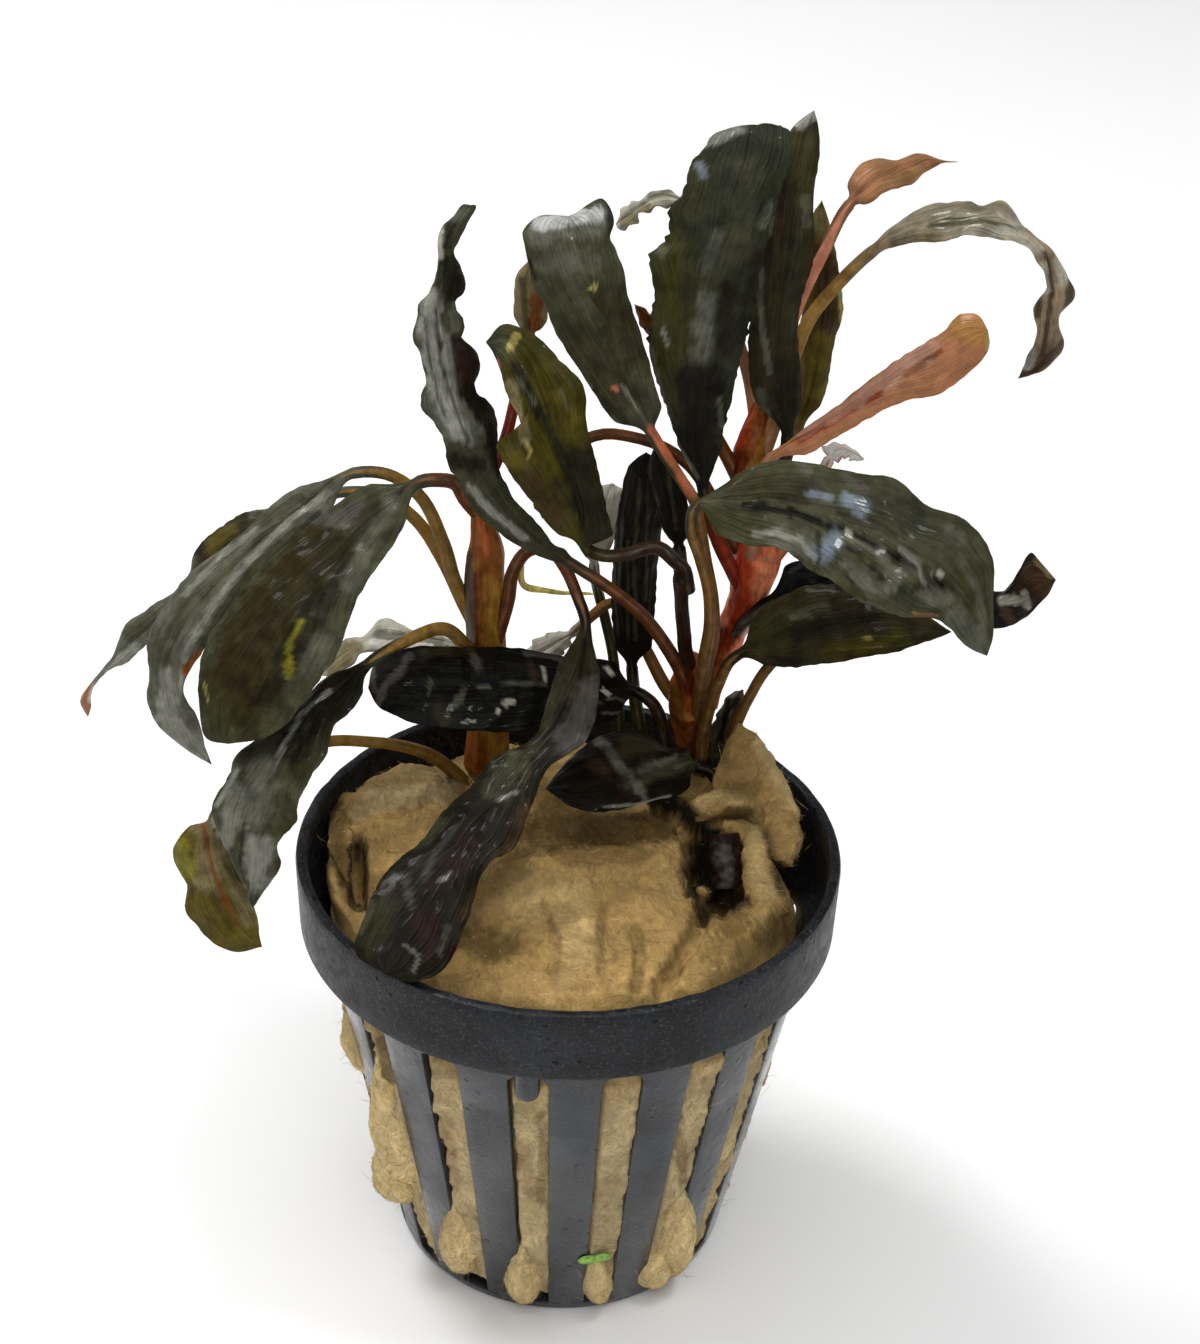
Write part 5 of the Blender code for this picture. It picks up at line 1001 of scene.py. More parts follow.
def loft(name, rings, tip=None, uv=None, tint=None):
    """A closed body through rings of points, with a fan to the first ring's middle and one to the tip."""
    count, sides = rings.shape[:2]
    tip = rings[-1].mean(axis=0) if tip is None else tip
    points = np.concatenate([rings.reshape(-1, 3), [rings[0].mean(axis=0), tip]])
    total = count * sides
    fans = [fan_faces(np.arange(sides), total, True),
            fan_faces(np.arange(total - sides, total), total + 1, False)]
    ends = [0, total - 1]
    if uv is not None:
        uv = np.concatenate([uv.reshape(-1, 2), uv.reshape(-1, 2)[ends]])
    if tint is not None:
        tint = np.concatenate([tint, tint[ends]])
    return add_mesh(name, points, grid_faces(count, sides), np.concatenate(fans), uv, tint)


def stroke_distance(pixels, places):
    """How far each pixel lies from the line through a stroke's columns and rows."""
    nearest = np.full(len(pixels), np.inf)
    places = np.reshape(np.array(places, float), (-1, 2))
    for start, end in zip(places[:-1], places[1:]):
        run = end - start
        share = np.clip((pixels - start) @ run / (run @ run), 0, 1)
        nearest = np.minimum(nearest, np.linalg.norm(pixels - start - share[:, None] * run, axis=1))
    return nearest


def covered(colour, hue, mask):
    """The colours with a hue laid over them by the mask."""
    return colour + (HUES[hue] - colour) * np.clip(mask, 0, 1)[:, None]


def painted(pixels, colour, strokes, seed):
    """The colours with strokes of paint over them, and how light the paint is as a share of gloss.

    A stroke's mask is a soft step of the distance from its line over its half
    width, made uneven by wave fields. Narrow strokes are crisper and straighter.
    Many strokes are painted highlights, sheen, reflections and shade, laid on as colour.
    """
    gloss = np.zeros(len(pixels))
    ragged = 0.26 * wave_field(pixels, 24.0, seed) + 0.20 * wave_field(pixels, 8.0, seed + 1)
    for hue, strength, half_width, *places in strokes:
        away = stroke_distance(pixels, places) / half_width + ragged * min(1.0, half_width / RAGGED_FROM)
        soft = min(1.0, half_width / SOFT_FROM)
        mask = strength * smooth_step(1.15 + 0.35 * soft, 0.85 - 0.25 * soft, away)
        colour = covered(colour, hue, mask)
        light = min(1.0, HUES[hue].mean() / GLOSSY_LIGHT)
        gloss = gloss + (light - gloss) * mask
    return np.concatenate([colour, gloss[:, None]], axis=1)


def course_frame(course):
    """Unit directions along a course, across it in the view, and out of it towards the viewer."""
    along = unit(np.gradient(course, axis=0))
    across = unit(np.cross(along, FORWARD))
    return along, across, facing_out(along, across)


def facing_out(along, across):
    """The unit direction square to both that is turned towards the viewer."""
    out = unit(np.cross(across, along))
    return out * np.where(out @ FORWARD > 0, -1.0, 1.0)[:, None]


def blade_edges(spec, course, shares):
    """Both edges of a blade at the shares of its length.

    An edge's pixel is taken at the midrib's distance, plus its lean times
    sin(pi share) to the power LEAN_POWER.
    """
    _, midrib, upper, lower, leans = spec
    distance = (course - EYE) @ FORWARD
    edges = []
    for side, lean in zip((upper, lower), leans):
        places = np.reshape([*midrib[:2], *side, *midrib[-3:-1]], (-1, 2))
        far = distance + lean * MM * np.sin(np.pi * shares) ** LEAN_POWER
        edges.append(EYE + sight_lines(smooth_course(places, shares)) * far[:, None])
    return edges


def leaf_rings(spec, look, seed):
    """A leaf with its petiole, as rings of points, with each point's place along and across it.

    A ring's angle gives a place from edge to edge on the front, then back on
    the underside. A petiole ring is round. A blade ring runs straight from the
    midrib to both edges, plus a camber of sin(pi v), the ruffle of a sine wave
    along the blade that grows with v cubed, and a slow wave field. Its edge is
    moved in and out by a shorter wave field times v to the fourth power.
    """
    petiole = sight_points(spec[0])
    midrib = sight_points(spec[1])
    stalk_length = span_lengths(np.concatenate([petiole, midrib[:1]])).sum()
    blade_length = span_lengths(midrib).sum()
    stalk_count = max(STALK_ROWS, round(stalk_length / STALK_STEP))
    blade_count = int(np.clip(round(blade_length / BLADE_STEP), *BLADE_ROWS))
    reach = stalk_length / (stalk_length + blade_length)
    stalk_shares = np.linspace(0, reach, stalk_count, endpoint=False)
    even = np.linspace(0, 1, blade_count + 1)[:-1]
    shares = (even + (1 - np.cos(np.pi * even)) / 2) / 2
    all_shares = np.concatenate([stalk_shares, reach + shares * (1 - reach)])
    course = smooth_course(np.concatenate([petiole, midrib]), all_shares)
    blade = course[stalk_count:]
    upper, lower = blade_edges(spec, blade, shares)

    along, across, out = course_frame(course)
    blade_along = along[stalk_count:]
    wide = lower - upper
    wide = wide - blade_along * np.sum(wide * blade_along, axis=1, keepdims=True)
    width = np.linalg.norm(wide, axis=1, keepdims=True)
    middle = blade_count // 2
    across = across * np.sign(wide[middle] @ across[stalk_count + middle])
    trust = smooth_step(*TRUSTED_WIDTH, width)
    across[stalk_count:] = unit(across[stalk_count:] * (1 - trust) + unit(wide) * trust)
    out = facing_out(along, across)

    turn = circle(LEAF_SIDES)
    v = -np.cos(turn)
    face = np.sin(turn)
    flare = STALK_FLARE * smooth_step(STALK_FOOT, 0.0, np.linspace(0, 1, len(course)))
    round_ring = across[:, None] * v[None, :, None] + out[:, None] * face[None, :, None]
    rings = course[:, None] + round_ring * (STALK_RADIUS * (1 + flare))[:, None, None]

    u = shares[:, None]
    far = np.abs(v)[None, :]
    half = np.where(v[None, :, None] < 0, upper[:, None], lower[:, None]) - blade[:, None]
    lens = blade[:, None] + half * far[..., None]
    ruffle, waves = look.get("ruffle", RUFFLE)
    side = np.where(v < 0, 0.0, SIDE_PHASE)[None, :]
    envelope = np.sin(np.pi * np.clip(u, 0.02, 1)) ** 0.5
    ripple = np.sin(2 * np.pi * waves * (u + 0.02 * np.sin(9 * u + seed)) + side + seed)
    flat = stacked(u * blade_length / MM, v[None, :] * width / MM / 2)
    pucker = PUCKER * wave_field(flat, PUCKER_LENGTH, seed)
    lift = (CAMBER * np.sin(np.pi * far) + ruffle * ripple * far ** 3 + pucker) * envelope
    groove = GROOVE * MM * np.exp(-(far / GROOVE_SPREAD) ** 2) * (1 - u) ** 0.5
    keel = BLADE_RIB * np.exp(-(far / RIB_SPREAD) ** 2) * (1 - u) ** 0.7
    rib = -np.where(face[None, :] >= 0, groove, keel)
    thick = BLADE_EDGE + (BLADE_MIDDLE - BLADE_EDGE) * (1 - far) ** 1.5 * (1 - 0.6 * u)
    skin = (np.sign(face) * np.abs(face) ** 0.5)[None, :] * thick / 2
    edge_place = flat[..., :1] + 40 * np.sign(v)[None, :, None]
    bites = wave_field(edge_place, NIBBLE_LENGTH, seed + 3) * far ** 4 * envelope
    nibble = look.get("nibble", NIBBLE) * MM * bites
    lens = lens + out[stalk_count:, None] * (lift * MM + skin + rib)[..., None]
    lens = lens + across[stalk_count:, None] * nibble[..., None]
    blend = np.clip(shares / BLADE_ROOT, 0, 1)[:, None, None]
    rings[stalk_count:] = rings[stalk_count:] * (1 - blend) + lens * blend

    place = stacked(lengths_along(course)[:, None] / UV_STEP, (v + 1) / 2)
    blade_share = np.concatenate([np.linspace(-1, 0, stalk_count, endpoint=False), shares])
    return rings, midrib[-1], place, blade_share, np.abs(v)


def leaf_tint(rings, blade_share, far, look, strokes, seed):
    """The leaf's colours: petiole to blade along it, margin and rib across it, painted shade on the
    petiole's sides and a painted highlight down its middle, then its own strokes of colour and painted
    sheen.
    """
    count, sides = rings.shape[:2]
    u = np.repeat(blade_share, sides)
    v = np.tile(far, count)
    colour = np.tile(HUES[look["base"]], (count * sides, 1))
    flat = np.stack([u * 40, v * 5], axis=-1)
    uneven = wave_field(flat, 9.0, seed + 5)
    if "end" in look:
        colour = covered(colour, look["end"], smooth_step(0.78, 1.0, u + 0.05 * uneven))
    if "margin" in look:
        colour = covered(colour, look["margin"], smooth_step(0.72, 1.0, v + 0.14 * uneven) * 0.85)
    if "rib" in look:
        colour = covered(colour, look["rib"], np.exp(-(v / 0.10) ** 2) * smooth_step(1.0, 0.4, u))
    colour = covered(colour, look["stalk"], smooth_step(0.10, 0.0, u + 0.25 * v))
    colour = covered(colour, look.get("foot", look["stalk"]), smooth_step(-0.5, -1.0, u))
    # Painted shade darkens the petiole towards its sides and a painted highlight runs down its middle
    stalk = smooth_step(0.06, -0.04, u)
    colour = colour * (1 - 0.45 * stalk * v ** 3)[:, None]
    gleam = stalk * (0.18 + 0.14 * wave_field(flat, 2.0, seed + 7)) * np.exp(-(v / 0.24) ** 2)
    colour = covered(colour, "linen", gleam)
    return painted(pixels_of(rings.reshape(-1, 3)), colour, strokes, seed)


def make_leaf(name, spec, look, seed):
    """One leaf from its places, its look and its strokes of paint."""
    rings, tip, place, blade_share, far = leaf_rings(spec, look, seed)
    tint = leaf_tint(rings, blade_share, far, look, COLOUR_AND_SHEEN_STROKES.get(name, ()), seed)
    return loft(f"plant_{name}", rings, tip, place, tint)


def wall_radius(height):
    """The wall's outer radius at a height, along its straight taper."""
    return BASE_RADIUS + (WALL_TOP_RADIUS - BASE_RADIUS) * height / BAND_FOOT


def around(angle, radius, height):
    """Points on rings about the pot's axis; the angle is 0 at the viewer's side and grows to the right."""
    return stacked(radius * np.sin(angle), -radius * np.cos(angle), height)


def sector_outline():
    """The outline of one slot's share of the wall: angles and heights, anticlockwise from its foot."""
    half = math.pi / SLOT_COUNT
    wide = np.linspace(-half, half, SECTOR_COLUMNS, endpoint=False)
    tall = np.linspace(FLOOR, BAND_FOOT, SECTOR_ROWS, endpoint=False)
    down = tall[::-1] + (tall[1] - tall[0])
    sides = (stacked(wide, FLOOR), stacked(half, tall), stacked(-wide, BAND_FOOT), stacked(-half, down))
    return np.concatenate(sides)


def slot_outline(grow):
    """The slot's outline with as many points: straight sides, and quarter circles at its head."""
    foot = SLOT_FOOT - grow
    head = SLOT_HEAD + grow
    radius = wall_radius(SLOT_HEAD)
    corner = SLOT_CORNER / radius
    spread = math.radians(SLOT_ANGLE / 2) + grow / radius
    wide = np.linspace(-1, 1, SECTOR_COLUMNS, endpoint=False)
    rise = np.linspace(0, 1, SECTOR_ROWS, endpoint=False)

    def half_width(height):
        over = np.clip((height - (head - SLOT_CORNER)) / SLOT_CORNER, 0, 1)
        return spread - corner * (1 - np.sqrt(1 - over ** 2 * CORNER_ROUND))

    up = foot + (head - foot) * rise
    down = foot + (head - foot) * (1 - rise)
    sides = (stacked(wide * spread, foot), stacked(half_width(up), up),
             stacked(-wide * half_width(head), head), stacked(-half_width(down), down))
    return np.concatenate(sides)


def wall_sector(middle):
    """One slot's share of the wall: rings over the outer face, through the slot and back inside."""
    outline = sector_outline()
    slot = slot_outline(0.0)
    rounded = slot_outline(SLOT_EDGE)
    face = outline * 0.5 + rounded * 0.5
    corner = slot * 0.7 + rounded * 0.3
    outside = [(outline, 0.0), (face, 0.0), (rounded, 0.0), (corner, 0.3 * SLOT_EDGE), (slot, SLOT_EDGE)]
    steps = outside + [(loop, WALL - depth) for loop, depth in reversed(outside)]
    return np.array([around(middle + loop[:, 0], wall_radius(loop[:, 1]) - depth, loop[:, 1])
                     for loop, depth in steps])


def turned(profile, angles):
    """Rings of the profile's radii and heights about the pot's axis."""
    return np.array([around(angles, radius, height) for radius, height in profile])


def band_profile():
    """The band from under its foot, up over the rounded lip and down inside it: radii and heights."""
    lip = RIM_RADIUS - LIP_WIDTH
    inside = BAND_FOOT_RADIUS - LIP_WIDTH
    band = [(WALL_TOP_RADIUS, BAND_FOOT), (BAND_FOOT_RADIUS - BAND_ROUND, BAND_FOOT),
            (BAND_FOOT_RADIUS - 0.3 * BAND_ROUND, BAND_FOOT + 0.3 * BAND_ROUND),
            (BAND_FOOT_RADIUS, BAND_FOOT + BAND_ROUND)]
    for share in (0.25, 0.5, 0.75, 0.93):
        radius = BAND_FOOT_RADIUS + (RIM_RADIUS - BAND_FOOT_RADIUS) * share
        band.append((radius, BAND_FOOT + (POT_HEIGHT - BAND_FOOT) * share))
    band += [(RIM_RADIUS - LIP_CORNER, POT_HEIGHT - LIP_CORNER), (RIM_RADIUS - BAND_ROUND, POT_HEIGHT),
             (lip + BAND_ROUND, POT_HEIGHT), (lip + LIP_CORNER, POT_HEIGHT - LIP_CORNER),
             (lip, POT_HEIGHT - BAND_ROUND), (inside, BAND_FOOT + 1.6 * MM),
             (inside - 0.4 * MM, BAND_FOOT + 0.9 * MM), (WALL_TOP_RADIUS - WALL, BAND_FOOT)]
    return band


def make_pot(name):
    """The pot: slotted wall sectors welded to a turned base and a turned band with a rounded lip."""
    middles = np.radians(SLOT_FIRST_ANGLE + np.arange(SLOT_COUNT) * 360 / SLOT_COUNT)
    count = SLOT_COUNT * SECTOR_COLUMNS
    angles = middles[0] - math.pi / SLOT_COUNT + circle(count)
    corner = 0.25 * BASE_CHAMFER
    inner_foot = wall_radius(FLOOR) - WALL
    base = [(wall_radius(FLOOR), FLOOR), (BASE_RADIUS, BASE_CHAMFER), (BASE_RADIUS - corner, corner),
            (BASE_RADIUS - BASE_CHAMFER, 0.0), (BASE_RADIUS * 0.6, 0.0), (BASE_RADIUS * 0.2, 0.0)]
    floor = [(BASE_RADIUS * 0.2, FLOOR), (inner_foot * 0.6, FLOOR), (inner_foot, FLOOR)]
    band = turned(band_profile(), angles)
    rim = band[..., 2] > POT_HEIGHT - 0.2 * MM
    band[..., 2] += np.where(rim, RIM_WAVE * wave_field(band, 2.6 * MM, 5), 0)
    parts = [*map(wall_sector, middles), turned(base, angles), turned(floor, angles), band]
    starts = np.cumsum([0] + [part.shape[0] * part.shape[1] for part in parts])
    faces = [grid_faces(*part.shape[:2]) + start for part, start in zip(parts, starts)]
    points = np.concatenate([part.reshape(-1, 3) for part in parts])
    obj = add_mesh(name, points, np.concatenate(faces))
    shape = bmesh.new()
    shape.from_mesh(obj.data)
    bmesh.ops.remove_doubles(shape, verts=shape.verts, dist=WELD)
    bmesh.ops.holes_fill(shape, edges=shape.edges, sides=count)
    bmesh.ops.recalc_face_normals(shape, faces=shape.faces)
    shape.to_mesh(obj.data)
    shape.free()
    obj.data.set_sharp_from_angle(angle=POT_SHARP_ANGLE)
    return obj


def make_tab(name):
    """The tab under the band: a round post whose radius rounds off at its foot as a circle does."""
    top = BAND_FOOT + 0.4 * MM
    foot = BAND_FOOT - TAB_DROP
    share = np.array((0.0, 0.03, 0.1, 0.2, 0.4, 0.7, 1.0))
    radius = TAB_WIDTH / 2 * np.sqrt(1 - (1 - np.minimum(share / 0.2, 1)) ** 2 * 0.9)
    turn = circle(TAB_SIDES)
    x = radius[:, None] * np.cos(turn)
    y = radius[:, None] * np.sin(turn) - (wall_radius(foot) + TAB_STAND)
    z = (foot + share * (top - foot))[:, None]
    cos, sin = math.cos(math.radians(TAB_ANGLE)), math.sin(math.radians(TAB_ANGLE))
    return loft(name, stacked(x * cos - y * sin, x * sin + y * cos, z))


def wool_level(x, y):
    """Height of the plug's top over a place, with all its forms added to the level."""
    height = np.full(np.shape(x), WOOL_LEVEL)
    for across, back, half_x, half_y, turn, rise, steep in WOOL_FORMS.values():
        angle = math.radians(turn)
        dx = x / MM - across
        dy = y / MM - back
        along = (dx * math.cos(angle) + dy * math.sin(angle)) / half_x
        aside = (dy * math.cos(angle) - dx * math.sin(angle)) / half_y
        height = height + rise * MM * np.exp(-np.hypot(along, aside) ** steep)
    return height


def wool_reach(angle, height):
    """The plug's radius at an angle from +X and a height: the inner wall less its margin and gaps."""
    wall = np.where(height < BAND_FOOT, wall_radius(height), WALL_TOP_RADIUS) - WALL - WOOL_MARGIN
    near_top = np.clip((height - 0.88 * WOOL_LEVEL) / (0.08 * WOOL_LEVEL), 0, 1)
    for middle, spread, depth in WOOL_GAPS:
        off = (np.degrees(angle) - middle + 180) % 360 - 180
        wall = wall - near_top * depth * MM * np.exp(-(off / spread) ** 4)
    return wall


def slot_share(angle, height):
    """1 in the middle of a slot and 0 beside it; the angle is from the viewer's side, in radians."""
    step = 2 * math.pi / SLOT_COUNT
    off = (angle - math.radians(SLOT_FIRST_ANGLE) + step / 2) % step - step / 2
    half = math.radians(SLOT_ANGLE / 2)
    aside = smooth_step(1.12, 0.90, np.abs(off - 0.12 * half) / half)
    over_foot = smooth_step(SLOT_FOOT, SLOT_FOOT + 1.6 * MM, height)
    under_head = smooth_step(SLOT_HEAD, SLOT_HEAD - 2.2 * MM, height)
    return aside * over_foot * under_head


def wool_side(angle, height):
    """The plug's side from the viewer's side round: its reach, pressed into the slots, with tufts."""
    base = wool_reach(angle - math.pi / 2, height)
    place = np.stack([angle * 20, height / MM], axis=-1)
    tuft = 0.45 * rough_field(place, 5.0, 31) + 0.12 * wave_field(place, 1.3, 37)
    share = slot_share(angle, height)
    pressed = (WOOL_MARGIN + WALL - 0.25 * MM) * share
    return base + pressed * (1 + 0.25 * tuft) + 0.25 * MM * tuft * (0.4 + share)


def wool_top(x, y):
    """The plug's top: its level with folds and tufts added, then its dents and rolls.

    A dent's or roll's height falls off with the distance, in pixels, of the
    place's sight line from the line along it.
    """
    place = np.stack([x, y], axis=-1) / MM
    level = wool_level(x, y)
    stretched = place * (0.55, 1.5) + 0.8 * wave_field(place, 14.0, 41)[..., None]
    folds = 0.40 * wave_field(stretched, 6.5, 43) + 0.16 * wave_field(stretched, 2.6, 45)
    height = level + (folds + 0.10 * rough_field(place, 1.8, 47)) * MM
    pixels = pixels_of(np.stack([x, y, level], axis=-1).reshape(-1, 3))
    ragged = 0.12 * wave_field(pixels, 16.0, 49)
    for rise, half_width, *places in WOOL_STROKES:
        mask = smooth_step(1.5, 0.45, stroke_distance(pixels, places) / half_width + ragged)
        height = height + (rise * MM * mask).reshape(np.shape(x))
    return height


def wool_edge(angle):
    """The plug's radius at its shoulder; the angle is from the viewer's side."""
    return wool_side(angle, np.full(np.shape(angle), WOOL_SHOULDER))


def wool_surface(x, y):
    """Height of the finished top over a place: the top, rounded down to the shoulder near its edge."""
    share = 1 - np.hypot(x, y) / wool_edge(np.arctan2(x, -y))
    rise = np.sqrt(np.clip(1 - (1 - np.clip(share / SHOULDER_SHARE, 0, 1)) ** 2, 0, 1))
    return WOOL_SHOULDER + (wool_top(x, y) - WOOL_SHOULDER) * rise


def wool_tint(rings, seed):
    """The wool's tans: its strokes of colour, painted shade and painted light over a slow mix of light and
    dark.
    """
    points = rings.reshape(-1, 3)
    share = smooth_step(-0.9, 1.1, wave_field(points / MM, 9.0, seed))[:, None]
    pale = smooth_step(WOOL_SHOULDER, 0.7 * WOOL_SHOULDER, points[:, 2])[:, None]
    colour = (HUES["wool"] * (1 - pale) + HUES["wool_pale"] * pale) * (0.84 + 0.24 * share)
    return wool_colour_and_shading(points, colour, seed)


def wool_colour_and_shading(points, colour, seed):
    """The strokes of paint on the wool, its colours with painted shade and light, but the bare colour on
    its side behind.
    """
    coated = painted(pixels_of(points), colour, WOOL_COLOUR_AND_PAINTED_SHADING, seed)
    outer = np.hypot(points[:, 0], points[:, 1]) > wall_radius(points[:, 2]) - PAINT_DEPTH
    behind = outer & (points[:, 2] < WOOL_SHOULDER) & (points[:, 1] > 0)
    coated[behind, :3] = colour[behind]
    return coated


def make_wool(name):
    """The rockwool plug: rings up its side, over a rounded shoulder and in across its uneven top."""
    angle = circle(WOOL_COLUMNS)
    rings = []
    for height in np.linspace(WOOL_FLOOR, WOOL_SHOULDER, WOOL_SIDE_ROWS):
        level = np.full(WOOL_COLUMNS, height)
        rings.append(around(angle, wool_side(angle, level), level))
    edge = wool_edge(angle)
    for share in np.linspace(0, 1, WOOL_TOP_ROWS)[1:]:
        reach = edge * (1 - share * TOP_REACH)
        x = reach * np.sin(angle)
        y = -reach * np.cos(angle)
        rings.append(np.stack([x, y, wool_surface(x, y)], axis=-1))
    rings = np.array(rings)
    return loft(name, rings, tint=wool_tint(rings, 51))


def make_swells(name):
    """The wool that sags out of the slots: upright drops, uneven by a slow wave field.

    A drop's girth follows the power 0.62 of sin(pi t^1.5) down its length.
    """
    turn = circle(SWELL_SIDES)
    t = np.linspace(0.01, 0.99, SWELL_ROWS)
    lumps = []
    for seed, (degrees, height, across, outwards, up) in enumerate(WOOL_SWELLS.values()):
        girth = np.sin(np.pi * t ** 1.5)[:, None] ** 0.62
        level = (height + up * (1 - 2 * t))[:, None] * MM
        place = stacked(np.cos(turn) * 1.2, np.sin(turn) * 1.2, t[:, None] * up * 0.7)
        bumpy = 1 + 0.07 * rough_field(place, 2.2, 60 + seed) + 0.02 * wave_field(place, 0.4, 80 + seed)
        sway = 0.25 * across * np.sin(2.2 * t + seed)[:, None]
        x = (across * girth * bumpy * np.cos(turn) + sway) * MM
        depth = outwards * MM + SWELL_ROOT
        y = depth / 2 * girth * bumpy * np.sin(turn) - wall_radius(level) + SWELL_ROOT - depth / 2
        cos, sin = math.cos(math.radians(degrees)), math.sin(math.radians(degrees))
        rings = stacked(x * cos - y * sin, x * sin + y * cos, level)
        tint = wool_tint(rings, 90 + seed)
        # Lightened towards pale wool: partly the swells' own paler tan, partly painted light on their dim
        # faces
        tint[:, :3] += (HUES["wool_light"] * 1.1 - tint[:, :3]) * SWELL_PALE
        lumps.append(loft(f"lump_{seed}", rings, tint=tint))
    return joined(name, lumps)


def joined(name, objects):
    """The objects' meshes in one object."""
    shape = bmesh.new()
    for obj in objects:
        shape.from_mesh(obj.data)
        bpy.data.objects.remove(obj, do_unlink=True)
    mesh = bpy.data.meshes.new(name)
    shape.to_mesh(mesh)
    shape.free()
    mesh.shade_smooth()
    return add_object(name, mesh)


def fibre_mesh(name, lines, up, radius, shade):
    """Thin three sided tubes along many lines of equally many points, each with its own shade."""
    count, steps = lines.shape[:2]
    along = unit(np.gradient(lines, axis=1))
    side = unit(np.cross(along, up))
    rise = np.cross(side, along)
    turn = circle(3)[:, None]
    taper = radius[:, None] * np.sin(np.pi * (0.08 + 0.84 * np.linspace(0, 1, steps))) ** 0.5
    ring = np.cos(turn) * side[:, :, None] + np.sin(turn) * rise[:, :, None]
    points = (lines[:, :, None] + ring * taper[:, :, None, None]).reshape(-1, 3)
    starts = (np.arange(count) * steps * 3)[:, None]
    quads = (grid_faces(steps, 3)[None] + starts[:, None]).reshape(-1, 4)
    ends = np.concatenate([starts + (2, 1, 0), starts + (steps - 1) * 3 + (0, 1, 2)])
    tint = np.repeat(np.concatenate([shade, np.zeros((count, 1))], axis=1), steps * 3, axis=0)
    return add_mesh(name, points, quads, ends, tint=tint, smooth=False)


def make_lumps(name):
    """Rolls, flaps and ridges on the plug's top: oval rings between two edges laid along sight lines.

    The thickness follows the square root of sin(pi t) along the lump.
    """
    turn = circle(LUMP_SIDES)[:, None]
    t = np.linspace(0.01, 0.99, LUMP_ROWS)
    lumps = []
    for seed, (thick, left, right) in enumerate(WOOL_LUMPS.values()):
        ends = [smooth_course(sight_points(edge), t) for edge in (left, right)]
        middle = (ends[0] + ends[1]) / 2
        half = (ends[1] - ends[0]) / 2
        out = unit(np.cross(half, np.gradient(middle, axis=0)))
        deep = out * (thick * MM * np.sqrt(np.sin(np.pi * t)))[:, None]
        rings = middle[:, None] + np.cos(turn) * half[:, None] + np.sin(turn) * deep[:, None]
        place = rings / MM
        push = 0.16 * rough_field(place, 3.0, 70 + seed) + 0.03 * wave_field(place, 0.5, 90 + seed)
        rings = rings + unit(rings - middle[:, None]) * (push * MM)[..., None]
        lumps.append(loft(f"lump_{seed}", rings, tint=wool_tint(rings, 110 + seed)))
    return joined(name, lumps)


def make_fibres(name, source, count, shown, seed):
    """Loose fibres on a mesh's shown faces: short parabolas lying mostly flat, a few standing off."""
    rng = np.random.default_rng(seed)
    faces = source.data.polygons
    centres = np.empty(len(faces) * 3)
    normals = np.empty(len(faces) * 3)
    areas = np.empty(len(faces))
    faces.foreach_get("center", centres)
    faces.foreach_get("normal", normals)
    faces.foreach_get("area", areas)
    centres = centres.reshape(-1, 3)
    weight = areas * shown(centres)
    pick = rng.choice(len(faces), count, p=weight / weight.sum())
    middles = centres[pick]
    up = normals.reshape(-1, 3)[pick]
    flatness = np.abs(up[:, 2:])
    level = np.array((0.35, -1.0, 0.0)) + 0.5 * wave_field(middles, 18 * MM, seed)[:, None]
    upright = np.array((0.0, 0.0, 1.0))
    way = level * flatness + upright * (1 - flatness) + rng.normal(0, 0.45, (count, 3))
    way = unit(way - up * (way * up).sum(axis=1, keepdims=True))
    aside = np.cross(up, way)
    s = np.linspace(-0.5, 0.5, FIBRE_STEPS)[None, :, None]
    lengths = (rng.uniform(*FIBRE_LENGTHS, count) * MM)[:, None, None]
    stands_off = rng.uniform(size=count) < LOOSE_SHARE
    loose = np.where(stands_off, rng.uniform(*FIBRE_STANDS, count), FIBRE_LIES) * MM
    lift = loose[:, None, None] * (1.2 + 1.5 * s)
    bend = lengths * rng.normal(0, 0.35, (count, 1, 1)) * (s ** 2 - 0.08)
    lines = middles[:, None] + way[:, None] * s * lengths + aside[:, None] * bend + up[:, None] * lift
    share = rng.beta(2.0, 1.5, (count, 1))
    mixed = HUES["wool_dark"] * (1 - share) + HUES["wool_light"] * share
    # Each fibre takes the wool's colour with its painted shade and light where it lies
    shade = wool_colour_and_shading(middles, mixed, 51)[:, :3]
    keep = lines[..., 2].min(axis=1) > FIBRE_LOWEST * MM
    radius = rng.uniform(*FIBRE_RADII, count) * MM
    return fibre_mesh(name, lines[keep], up[keep][:, None], radius[keep], shade[keep])


def plug_shown(points):
    """1 where the plug's surface can be seen, on its top and in the slots, and 0 elsewhere."""
    angle = np.arctan2(points[:, 0], -points[:, 1])
    return (points[:, 2] > WOOL_SHOULDER) | (slot_share(angle, points[:, 2]) > 0.3)


def lumps_shown(points):
    """1 for every point: a lump is seen all round."""
    return np.ones(len(points))


